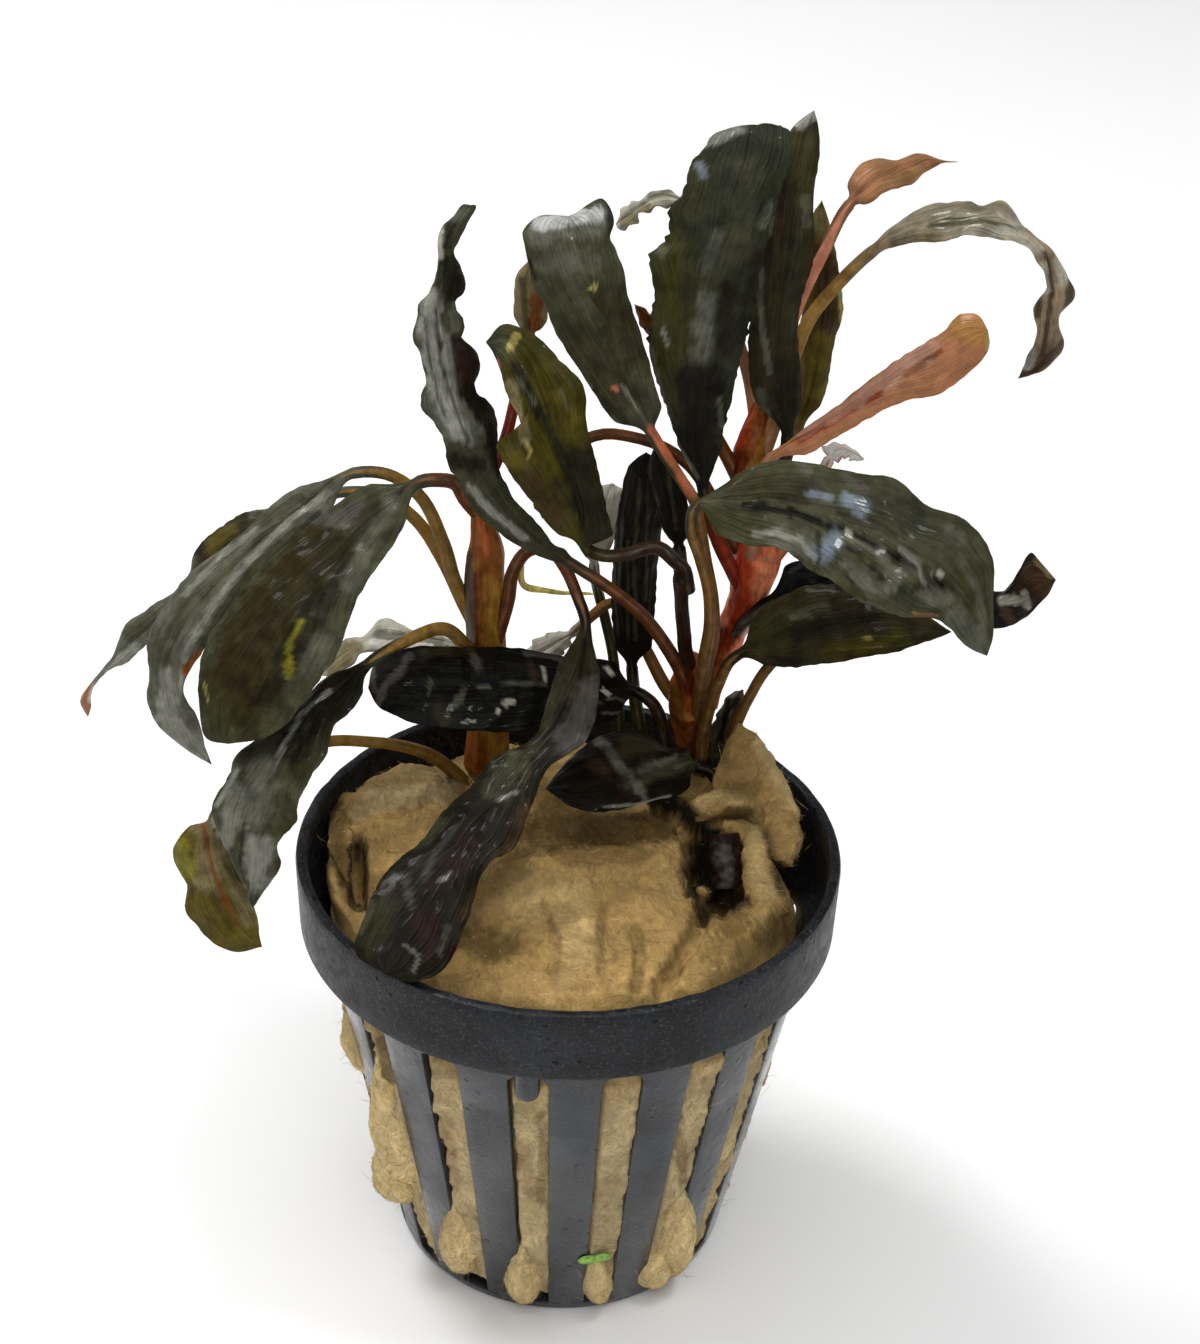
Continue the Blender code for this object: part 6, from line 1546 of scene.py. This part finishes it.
def make_stem(name, spec, hue, seed):
    """A stem: round rings along its places, with lengthwise ridges and an uneven girth."""
    places, radii = spec
    shares = np.linspace(0, 1, STEM_ROWS)
    course = smooth_course(sight_points(places), shares)
    radius = np.interp(shares, np.linspace(0, 1, len(radii)), radii) * MM
    if name not in CUT_STEMS:
        past = np.clip((shares - STEM_ROUND_FROM) / (1 - STEM_ROUND_FROM), 0, 0.97)
        radius = radius * np.sqrt(1 - past ** 2)
    _, across, out = course_frame(course)
    turn = circle(STEM_SIDES)
    place = stacked(shares[:, None] * 6, np.cos(turn) * 1.4, np.sin(turn) * 1.4)
    ridges = 0.05 * np.sin(5 * turn + 2 * shares[:, None]) + 0.08 * wave_field(place, 1.2, seed)
    reach = radius[:, None] * (1 + ridges)
    ring = np.cos(turn)[:, None] * across[:, None] + np.sin(turn)[:, None] * out[:, None]
    rings = course[:, None] + ring * reach[..., None]
    colour = np.tile(HUES[hue], (STEM_ROWS * STEM_SIDES, 1))
    tint = painted(pixels_of(rings.reshape(-1, 3)), colour, COLOUR_AND_SHEEN_STROKES.get(name, ()), seed)
    place = stacked(lengths_along(course)[:, None] / UV_STEP, (1 + np.cos(turn)) / 2)
    return loft(f"plant_{name}", rings, None, place, tint)


def make_duckweed(name):
    """A tiny round leaf stuck to the pot's wall: two lobes, each a thin dome of 1 - r squared.

    A lobe's place is where its sight line first comes within the wall's radius.
    """
    lobes = []
    turn = circle(DUCKWEED_SIDES)
    r = np.linspace(1, 0, 7)[:-1]
    reach = np.linspace(SIGHT_DISTANCE * 0.8, SIGHT_DISTANCE * 1.2, 6000)
    for column, row, half in DUCKWEED:
        points = EYE + sight_lines(np.array((column, row))) * reach[:, None]
        gap = np.hypot(points[:, 0], points[:, 1]) - wall_radius(points[:, 2])
        place = points[np.argmax((gap < 0) & (points[:, 2] < BAND_FOOT))]
        angle = math.atan2(place[0], -place[1])
        rings = []
        for lift, order in ((-0.05, r[::-1]), (0.16, r)):
            dome = lift * (1 - order ** 2) * MM + 0.12 * MM
            across = half * MM * order[:, None] * np.cos(turn) * 1.25
            height = place[2] + half * MM * order[:, None] * np.sin(turn)
            rings.append(around(angle + across / BASE_RADIUS, wall_radius(height) + dome[:, None], height))
        lobes.append(loft(f"lobe_{column}", np.concatenate(rings)))
    return joined(name, lobes)


class Finish:
    """A material's node tree, with short calls for the nodes that the finishes use."""

    def __init__(self, name):
        self.material = bpy.data.materials.new(name)
        self.material.use_nodes = True
        self.tree = self.material.node_tree
        self.shader = self.tree.nodes["Principled BSDF"]

    def put(self, socket, value):
        """Link a socket to the input, or set the input's value."""
        if isinstance(value, bpy.types.NodeSocket):
            self.tree.links.new(value, socket)
        elif isinstance(value, np.ndarray) and len(value) == 3 and len(socket.default_value) == 4:
            socket.default_value = (*value, 1.0)
        else:
            socket.default_value = value

    def node(self, kind, inputs=(), **settings):
        """A node with its settings and inputs."""
        made = self.tree.nodes.new(kind)
        for key, value in settings.items():
            setattr(made, key, value)
        for socket, value in dict(inputs).items():
            self.put(made.inputs[socket], value)
        return made

    def math(self, operation, first, second=0.0):
        """One sum of two inputs."""
        return self.node("ShaderNodeMath", {0: first, 1: second}, operation=operation).outputs[0]

    def times(self, first, second):
        """The product of two inputs."""
        return self.math("MULTIPLY", first, second)

    def plus(self, first, second):
        """Two inputs added."""
        return self.math("ADD", first, second)

    def less(self, first, second):
        """The first input less the second."""
        return self.math("SUBTRACT", first, second)

    def span(self, value, low, high, start=0.0, end=1.0):
        """The value's way from low to high, carried over to start to end."""
        keys = {"Value": value, "From Min": low, "From Max": high, "To Min": start, "To Max": end}
        return self.node("ShaderNodeMapRange", keys, interpolation_type="SMOOTHSTEP").outputs["Result"]

    def mix(self, share, first, second, blend="MIX"):
        """A share of the second colour over the first."""
        made = self.node("ShaderNodeMix", data_type="RGBA", blend_type=blend)
        for socket, value in ((0, share), (6, first), (7, second)):
            self.put(made.inputs[socket], value)
        return made.outputs[2]

    def scaled(self, colour, share):
        """The colour times the share."""
        return self.mix(1.0, colour, np.full(3, share), "MULTIPLY")

    def noise(self, vector, scale, detail=3.0, roughness=0.55):
        """Uneven values of about 0 to 1 on a scale in waves per metre."""
        keys = {"Vector": vector, "Scale": scale, "Detail": detail, "Roughness": roughness}
        return self.node("ShaderNodeTexNoise", keys).outputs["Fac"]

    def stretched(self, vector, scale, turn=0.0):
        """Places scaled along each axis, after a turn about the upright one."""
        keys = {"Vector": vector, "Scale": scale, "Rotation": (0.0, 0.0, turn)}
        return self.node("ShaderNodeMapping", keys).outputs[0]

    def object_place(self):
        """Places on the piece, in metres."""
        return self.node("ShaderNodeTexCoord").outputs["Object"]

    def tint(self):
        """The colour and the gloss painted on the piece."""
        made = self.node("ShaderNodeAttribute", attribute_name="tint", attribute_type="GEOMETRY")
        return made.outputs["Color"], made.outputs["Alpha"]

    def bumps(self, *layers):
        """Bumps over one another, each a height, how high it stands in millimetres and a strength."""
        normal = None
        for height, rise, strength in layers:
            keys = {"Height": height, "Distance": rise * MM, "Strength": strength}
            if normal is not None:
                keys["Normal"] = normal
            normal = self.node("ShaderNodeBump", keys).outputs["Normal"]
        return normal

    def shade(self, **inputs):
        """The material, with the inputs on its shader."""
        for key, value in inputs.items():
            self.put(self.shader.inputs[key.replace("_", " ")], value)
        return self.material


def leaf_finish(name, roughness, coat, contrast):
    """A leaf: its painted tint broken up along the veins, ridges on the veins, and a thin wet coat."""
    g = Finish(name)
    tint, gloss = g.tint()
    blade = g.node("ShaderNodeSeparateXYZ", {0: g.node("ShaderNodeUVMap", uv_map="blade").outputs[0]})
    along = blade.outputs[0]
    across = g.math("ABSOLUTE", g.less(g.times(blade.outputs[1], 2.0), 1.0))
    place = g.object_place()
    flow = g.plus(g.less(across, g.times(along, VEIN_SLANT)), g.times(g.noise(place, 160.0, 2.0), 0.30))
    wave = g.math("SINE", g.times(flow, VEIN_COUNT * 2 * math.pi))
    vein = g.span(wave, 0.55, 1.0)
    furrow = g.span(wave, -0.80, -0.97)
    streak_place = g.node("ShaderNodeCombineXYZ", {0: g.times(flow, 14.0), 1: g.times(along, 2.6)})
    streak = g.noise(streak_place.outputs[0], 1.0, 5.0, 0.6)
    mottle = g.noise(place, 520.0, 5.0, 0.62)
    grain = g.noise(place, 3200.0, 3.0, 0.6)
    share = g.span(g.plus(g.times(streak, 0.35), g.times(mottle, 0.65)), 0.36, 0.64)
    dark = g.scaled(tint, 1 - contrast)
    light = g.scaled(tint, 1 + 0.8 * contrast)
    colour = g.mix(share, dark, light)
    colour = g.mix(g.times(vein, 0.14), colour, light)
    patchy = g.span(g.noise(place, 240.0, 2.0), 0.42, 0.62)
    colour = g.mix(g.times(g.times(furrow, patchy), contrast), colour, dark)
    colour = g.mix(g.span(grain, 0.52, 0.75, 0.0, 0.30), colour, dark)
    rough = g.span(g.noise(place, 170.0, 3.0), 0.3, 0.7, roughness - 0.08, roughness + 0.14)
    rough = g.plus(g.less(rough, g.times(gloss, 0.12)), g.times(grain, 0.08))
    normal = g.bumps((g.less(vein, furrow), 0.10, 0.6), (streak, 0.12, 0.5), (mottle, 0.14, 0.6),
                     (grain, 0.03, 0.6))
    wet_normal = g.bumps((vein, 0.08, 0.5), (mottle, 0.07, 0.5))
    film = g.times(g.span(gloss, 0.05, 0.6, 0.18, 1.0), coat)
    return g.shade(Base_Color=colour, Roughness=rough, Normal=normal, Specular_IOR_Level=0.04,
                   Coat_Weight=film, Coat_Roughness=0.07, Coat_Normal=wet_normal)


def stem_finish(name):
    """A stem or sheath: its tint with lengthwise fibres, damp."""
    g = Finish(name)
    tint, _ = g.tint()
    place = g.object_place()
    fibres = g.noise(g.stretched(place, (1.0, 1.0, 0.12)), 1700.0, 4.0, 0.6)
    blots = g.noise(place, 600.0)
    share = g.span(g.plus(g.times(fibres, 0.6), g.times(blots, 0.4)), 0.36, 0.64)
    return g.shade(Base_Color=g.mix(share, g.scaled(tint, 0.75), g.scaled(tint, 1.75)),
                   Roughness=g.span(blots, 0.3, 0.7, 0.30, 0.52),
                   Normal=g.bumps((fibres, 0.16, 0.7), (blots, 0.15, 0.4)),
                   Specular_IOR_Level=0.06, Coat_Weight=0.05, Coat_Roughness=0.08)


def pot_finish(name, colour):
    """Black moulded plastic: damp in patches, with fine grain, tiny pits and faint upright scuffs, and a
    painted reflection of the pale floor lightening the bars under the band.
    """
    g = Finish(name)
    place = g.object_place()
    cloud = g.noise(place, 110.0, 4.0)
    grain = g.noise(place, 3600.0, 3.0, 0.65)
    dimple = g.noise(place, 900.0, 3.0, 0.6)
    scuffs = g.noise(g.stretched(place, (1.0, 1.0, 0.06)), 1800.0)
    cells = {"Vector": place, "Scale": 620.0, "Randomness": 1.0}
    pits = g.node("ShaderNodeTexVoronoi", cells).outputs["Distance"]
    pit = g.times(g.span(pits, 0.22, 0.08), g.span(g.noise(place, 260.0, 1.0), 0.50, 0.58))
    base = g.mix(g.span(cloud, 0.35, 0.65), colour * 0.4, colour * 1.7)
    base = g.mix(g.times(g.span(scuffs, 0.60, 0.78), 0.4), base, colour * 5.0)
    base = g.mix(g.span(grain, 0.54, 0.70, 0.0, 0.8), base, colour * 7.0)
    base = g.mix(g.span(dimple, 0.46, 0.36), base, colour * 0.25)
    base = g.mix(pit, base, colour * 0.2)
    height = g.node("ShaderNodeSeparateXYZ", {0: place}).outputs["Z"]
    # Painted reflection of the pale floor: the bars under the band are lightened in uneven patches
    floor_reflection = g.times(g.span(height, BAND_FOOT, BAND_FOOT - 6 * MM), g.span(cloud, 0.30, 0.60, 0.25, 0.6))
    base = g.mix(floor_reflection, base, colour * 5.0)
    below = g.span(height, BAND_FOOT + 0.4 * MM, BAND_FOOT - 0.8 * MM, 0.12, 1.0)
    damp = g.times(g.span(g.noise(place, 75.0, 3.0, 0.6), 0.35, 0.65, 0.45, 1.0), below)
    rough = g.less(g.span(dimple, 0.3, 0.7, 0.42, 0.60), g.times(damp, 0.12))
    normal = g.bumps((grain, 0.06, 0.9), (dimple, 0.12, 0.7), (pit, 0.25, 0.8), (cloud, 0.35, 0.4))
    wet_normal = g.bumps((dimple, 0.14, 0.7), (pit, 0.20, 0.7))
    return g.shade(Base_Color=base, Roughness=rough, Normal=normal, Specular_IOR_Level=0.18,
                   Coat_Weight=damp, Coat_Roughness=0.20, Coat_Normal=wet_normal)


def wool_finish(name):
    """Matted mineral wool: painted tans with their painted shade and light, a fine felted grain, soft
    combed streaks and pale specks.
    """
    g = Finish(name)
    tint, _ = g.tint()
    place = g.object_place()
    warp = g.node("ShaderNodeTexNoise", {"Vector": place, "Scale": 130.0, "Detail": 3.0}).outputs["Color"]
    bent = g.mix(0.010, place, warp, "ADD")
    fibre = g.noise(g.stretched(bent, (1.0, 0.22, 0.6), 0.5), 3400.0, 5.0, 0.7)
    cross = g.noise(g.stretched(bent, (0.25, 1.0, 0.6), -0.3), 3000.0, 5.0, 0.7)
    rise = g.noise(g.stretched(bent, (0.9, 0.9, 0.2)), 3200.0, 5.0, 0.7)
    comb = g.noise(g.stretched(bent, (1.0, 0.25, 0.4), 0.2), 620.0, 4.0, 0.6)
    cloud = g.noise(place, 210.0, 5.0, 0.62)
    felt = g.math("MAXIMUM", g.math("MAXIMUM", fibre, cross), rise)
    dark = g.scaled(tint, 0.62)
    colour = g.mix(g.span(felt, 0.44, 0.70), dark, tint)
    colour = g.mix(g.span(comb, 0.46, 0.68, 0.0, 0.55), colour, g.scaled(tint, 1.28))
    colour = g.mix(g.span(cloud, 0.48, 0.66, 0.0, 0.70), colour, dark)
    speck = g.span(g.noise(place, 2400.0, 2.0, 0.5), 0.70, 0.78)
    colour = g.mix(g.times(speck, 0.5), colour, HUES["wool_light"])
    normal = g.bumps((felt, 0.16, 0.8), (comb, 0.35, 0.6), (cloud, 0.8, 0.6))
    return g.shade(Base_Color=colour, Roughness=0.92, Normal=normal, Specular_IOR_Level=0.2)


def fibre_finish(name):
    """Loose mineral fibres in their own shades, which carry the wool's painted shade and light."""
    g = Finish(name)
    tint, _ = g.tint()
    cloud = g.noise(g.object_place(), 240.0)
    return g.shade(Base_Color=g.mix(g.span(cloud, 0.3, 0.7), g.scaled(tint, 0.7), tint),
                   Roughness=g.span(cloud, 0.3, 0.7, 0.6, 0.85))


def duckweed_finish(name):
    """A bright green floating leaf with fine cells."""
    g = Finish(name)
    cells = g.noise(g.object_place(), 2800.0)
    colour = g.mix(g.span(cells, 0.3, 0.7), HUES["duckweed"] * 0.6, HUES["duckweed"] * 1.3)
    return g.shade(Base_Color=colour, Roughness=0.35, Normal=g.bumps((cells, 0.04, 0.6)), Coat_Weight=0.3)


def floor_finish(name, colour):
    """A pale even floor with a trace of unevenness in its sheen."""
    g = Finish(name)
    cloud = g.noise(g.object_place(), 6.0)
    return g.shade(Base_Color=np.array(colour), Roughness=g.span(cloud, 0.3, 0.7, 0.75, 0.9))


def dress(obj, finish, slot, *nodes):
    """Give a piece its finish and its body, and let it stand for its solids."""
    obj.data.materials.append(finish)
    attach(obj, "root")
    if nodes:
        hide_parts(*nodes)
    return obj


class PotSettings(bpy.types.PropertyGroup):
    """What a user may change on the pot."""
    colour: bpy.props.FloatVectorProperty(
        name="Plastic", description="Colour of the moulded plastic", subtype="COLOR",
        default=(0.0075, 0.0085, 0.0100), min=0.0, max=1.0)


class WoolSettings(bpy.types.PropertyGroup):
    """What a user may change on the rockwool."""
    plug_fibres: bpy.props.IntProperty(
        name="Plug fibres", description="Loose fibres on the plug's top and in the slots",
        default=9500, min=1, max=9500)
    lump_fibres: bpy.props.IntProperty(
        name="Lump fibres", description="Loose fibres on the rolls and on the wool that swells out",
        default=5000, min=1, max=9500)


class PlantSettings(bpy.types.PropertyGroup):
    """What a user may change on the leaves and stems."""
    wet: bpy.props.FloatProperty(
        name="Wet coat", description="Weight of the wet coat on the leaves", subtype="FACTOR",
        default=0.35, min=0.0, max=1.0)


class StageSettings(bpy.types.PropertyGroup):
    """What a user may change on the floor and lights."""
    floor_colour: bpy.props.FloatVectorProperty(
        name="Floor", description="Colour of the floor", subtype="COLOR",
        default=(0.94, 0.94, 0.94), min=0.0, max=1.0)
    key_power: bpy.props.FloatProperty(
        name="Window light", description="Power of the bright light behind", subtype="POWER",
        default=5.0, min=0.0)
    side_power: bpy.props.FloatProperty(
        name="Ceiling light", description="Power of the broad light overhead", subtype="POWER",
        default=12.5, min=0.0)
    sky: bpy.props.FloatProperty(
        name="Surroundings", description="Brightness of the room near the floor", default=0.6, min=0.0)


class WATERPLANT_OT_pot(bpy.types.Operator):
    """Build the slotted pot and its tab"""
    bl_idname = "water_plant.pot"
    bl_label = "Pot"

    def execute(self, context):
        finish = pot_finish("black_plastic", np.array(context.scene.water_plant_pot.colour))
        dress(make_pot("slotted_pot"), finish, "pot", "pot")
        dress(make_tab("pot_tab"), finish, "pot")
        return {"FINISHED"}


class WATERPLANT_OT_rockwool(bpy.types.Operator):
    """Build the rockwool plug, what swells out of it and its loose fibres"""
    bl_idname = "water_plant.rockwool"
    bl_label = "Rockwool"

    def execute(self, context):
        settings = context.scene.water_plant_wool
        wool = wool_finish("rockwool_mat")
        fibre = fibre_finish("rockwool_fibre")
        plug = make_wool("rockwool_plug")
        lumps = joined("rockwool_lumps", [make_swells("swells"), make_lumps("rolls")])
        plug_fibres = make_fibres("rockwool_plug_fibres", plug, settings.plug_fibres, plug_shown, 7)
        lump_fibres = make_fibres("rockwool_lump_fibres", lumps, settings.lump_fibres, lumps_shown, 8)
        dress(plug, wool, "rockwool", "rockwool")
        dress(lumps, wool, "rockwool")
        dress(plug_fibres, fibre, "rockwool")
        dress(lump_fibres, fibre, "rockwool")
        return {"FINISHED"}


class WATERPLANT_OT_stems(bpy.types.Operator):
    """Build the stems, the sheath, the old stub and the root"""
    bl_idname = "water_plant.stems"
    bl_label = "Stems"

    def execute(self, context):
        finish = stem_finish("leaf_sheath")
        for seed, (name, spec) in enumerate(STEMS.items()):
            stem = make_stem(name, spec, STEM_HUES[name], 300 + seed)
            dress(stem, finish, "root" if name == "root" else "stem", name)
        return {"FINISHED"}


class WATERPLANT_OT_leaves(bpy.types.Operator):
    """Build every leaf with its petiole"""
    bl_idname = "water_plant.leaves"
    bl_label = "Leaves"

    def execute(self, context):
        settings = context.scene.water_plant_plant
        finishes = {key: leaf_finish(f"{key}_skin", rough, settings.wet * share, contrast)
                    for key, (rough, share, contrast) in LEAF_FINISHES.items()}
        for seed, (name, spec) in enumerate(LEAVES.items()):
            look = LEAF_LOOKS[name]
            leaf = make_leaf(name, spec, look, 100 + 7 * seed)
            dress(leaf, finishes[look["finish"]], look["finish"], name)
        return {"FINISHED"}


class WATERPLANT_OT_duckweed(bpy.types.Operator):
    """Build the duckweed leaf stuck to the pot"""
    bl_idname = "water_plant.duckweed"
    bl_label = "Duckweed"

    def execute(self, context):
        dress(make_duckweed("duckweed_leaf"), duckweed_finish("duckweed_skin"), "olive_leaf")
        return {"FINISHED"}


def add_light(name, place, size, power):
    """A square area light at a place, facing the plant."""
    light = bpy.data.lights.new(name, "AREA")
    light.size = size
    light.energy = power
    obj = add_object(name, light)
    obj.location = place
    obj.rotation_euler = (Vector(LIT_POINT) - Vector(place)).to_track_quat("-Z", "Y").to_euler()


def surroundings(strength):
    """A world that is pale near the horizon behind the plant and dim overhead and on the viewer's side."""
    world = bpy.data.worlds.new("surroundings")
    world.use_nodes = True
    tree = world.node_tree
    parts = tree.nodes.new("ShaderNodeSeparateXYZ")
    tree.links.new(tree.nodes.new("ShaderNodeTexCoord").outputs["Generated"], parts.inputs[0])
    both = tree.nodes.new("ShaderNodeMath")
    both.operation = "MULTIPLY"
    fade_up = (0.10, 0.45, strength, 0.1 * strength)
    fade_forward = (-0.3, 0.5, 0.2, 1.0)
    for k, (axis, values) in enumerate((("Z", fade_up), ("Y", fade_forward))):
        fade = tree.nodes.new("ShaderNodeMapRange")
        for key, value in zip(("From Min", "From Max", "To Min", "To Max"), values):
            fade.inputs[key].default_value = value
        tree.links.new(parts.outputs[axis], fade.inputs["Value"])
        tree.links.new(fade.outputs["Result"], both.inputs[k])
    background = tree.nodes["Background"]
    tree.links.new(both.outputs[0], background.inputs["Strength"])
    background.inputs["Color"].default_value = (1.0, 1.0, 1.0, 1.0)
    return world


class WATERPLANT_OT_stage(bpy.types.Operator):
    """Build the floor, the lights and the camera"""
    bl_idname = "water_plant.stage"
    bl_label = "Stage"

    def execute(self, context):
        settings = context.scene.water_plant_stage
        bpy.ops.mesh.primitive_plane_add(size=FLOOR_SIZE)
        floor = context.object
        floor.name = "floor"
        floor.data.materials.append(floor_finish("pale_floor", settings.floor_colour))
        for name, place, size, share in LIGHTS:
            power = settings.key_power if size < WIDE_LIGHT else settings.side_power
            add_light(name, place, size, power * share)
        context.scene.world = surroundings(settings.sky)
        context.scene.view_settings.view_transform = "Standard"
        camera = bpy.data.cameras.new("camera")
        camera.lens = camera.sensor_width * FOCAL_PX / PICTURE_HEIGHT
        camera.clip_start = 0.01
        camera.clip_end = 20.0
        view = add_object("camera", camera)
        turn = Matrix([SIGHT_RIGHT, SIGHT_UP, -FORWARD]).transposed()
        view.matrix_world = Matrix.Translation(EYE) @ turn.to_4x4()
        context.scene.camera = view
        return {"FINISHED"}


class WATERPLANT_PT_panel(bpy.types.Panel):
    """The water plant's settings and build steps"""
    bl_idname = "WATERPLANT_PT_panel"
    bl_label = "Water plant"
    bl_space_type = "VIEW_3D"
    bl_region_type = "UI"
    bl_category = "Water plant"

    def draw(self, context):
        scene = context.scene
        stage_keys = ("floor_colour", "key_power", "side_power", "sky")
        parts = ((scene.water_plant_pot, ("colour",), WATERPLANT_OT_pot),
                 (scene.water_plant_wool, ("plug_fibres", "lump_fibres"), WATERPLANT_OT_rockwool),
                 (scene.water_plant_plant, ("wet",), WATERPLANT_OT_leaves),
                 (scene.water_plant_plant, (), WATERPLANT_OT_stems),
                 (scene.water_plant_plant, (), WATERPLANT_OT_duckweed),
                 (scene.water_plant_stage, stage_keys, WATERPLANT_OT_stage))
        for settings, keys, step in parts:
            box = self.layout.box()
            for key in keys:
                box.prop(settings, key)
            box.operator(step.bl_idname)


SETTINGS = {
    "water_plant_pot": PotSettings,
    "water_plant_wool": WoolSettings,
    "water_plant_plant": PlantSettings,
    "water_plant_stage": StageSettings,
}
STEPS = (WATERPLANT_OT_pot, WATERPLANT_OT_rockwool, WATERPLANT_OT_stems, WATERPLANT_OT_leaves,
         WATERPLANT_OT_duckweed, WATERPLANT_OT_stage)


def register():
    for made in (*SETTINGS.values(), *STEPS, WATERPLANT_PT_panel):
        bpy.utils.register_class(made)
    for name, made in SETTINGS.items():
        setattr(bpy.types.Scene, name, bpy.props.PointerProperty(type=made))


def unregister():
    for name in SETTINGS:
        delattr(bpy.types.Scene, name)
    for made in reversed((*SETTINGS.values(), *STEPS, WATERPLANT_PT_panel)):
        bpy.utils.unregister_class(made)


def main():
    """Build every piece in order."""
    register()
    for step in STEPS:
        group, name = step.bl_idname.split(".")
        getattr(getattr(bpy.ops, group), name)()


if __name__ == "__main__":
    main()
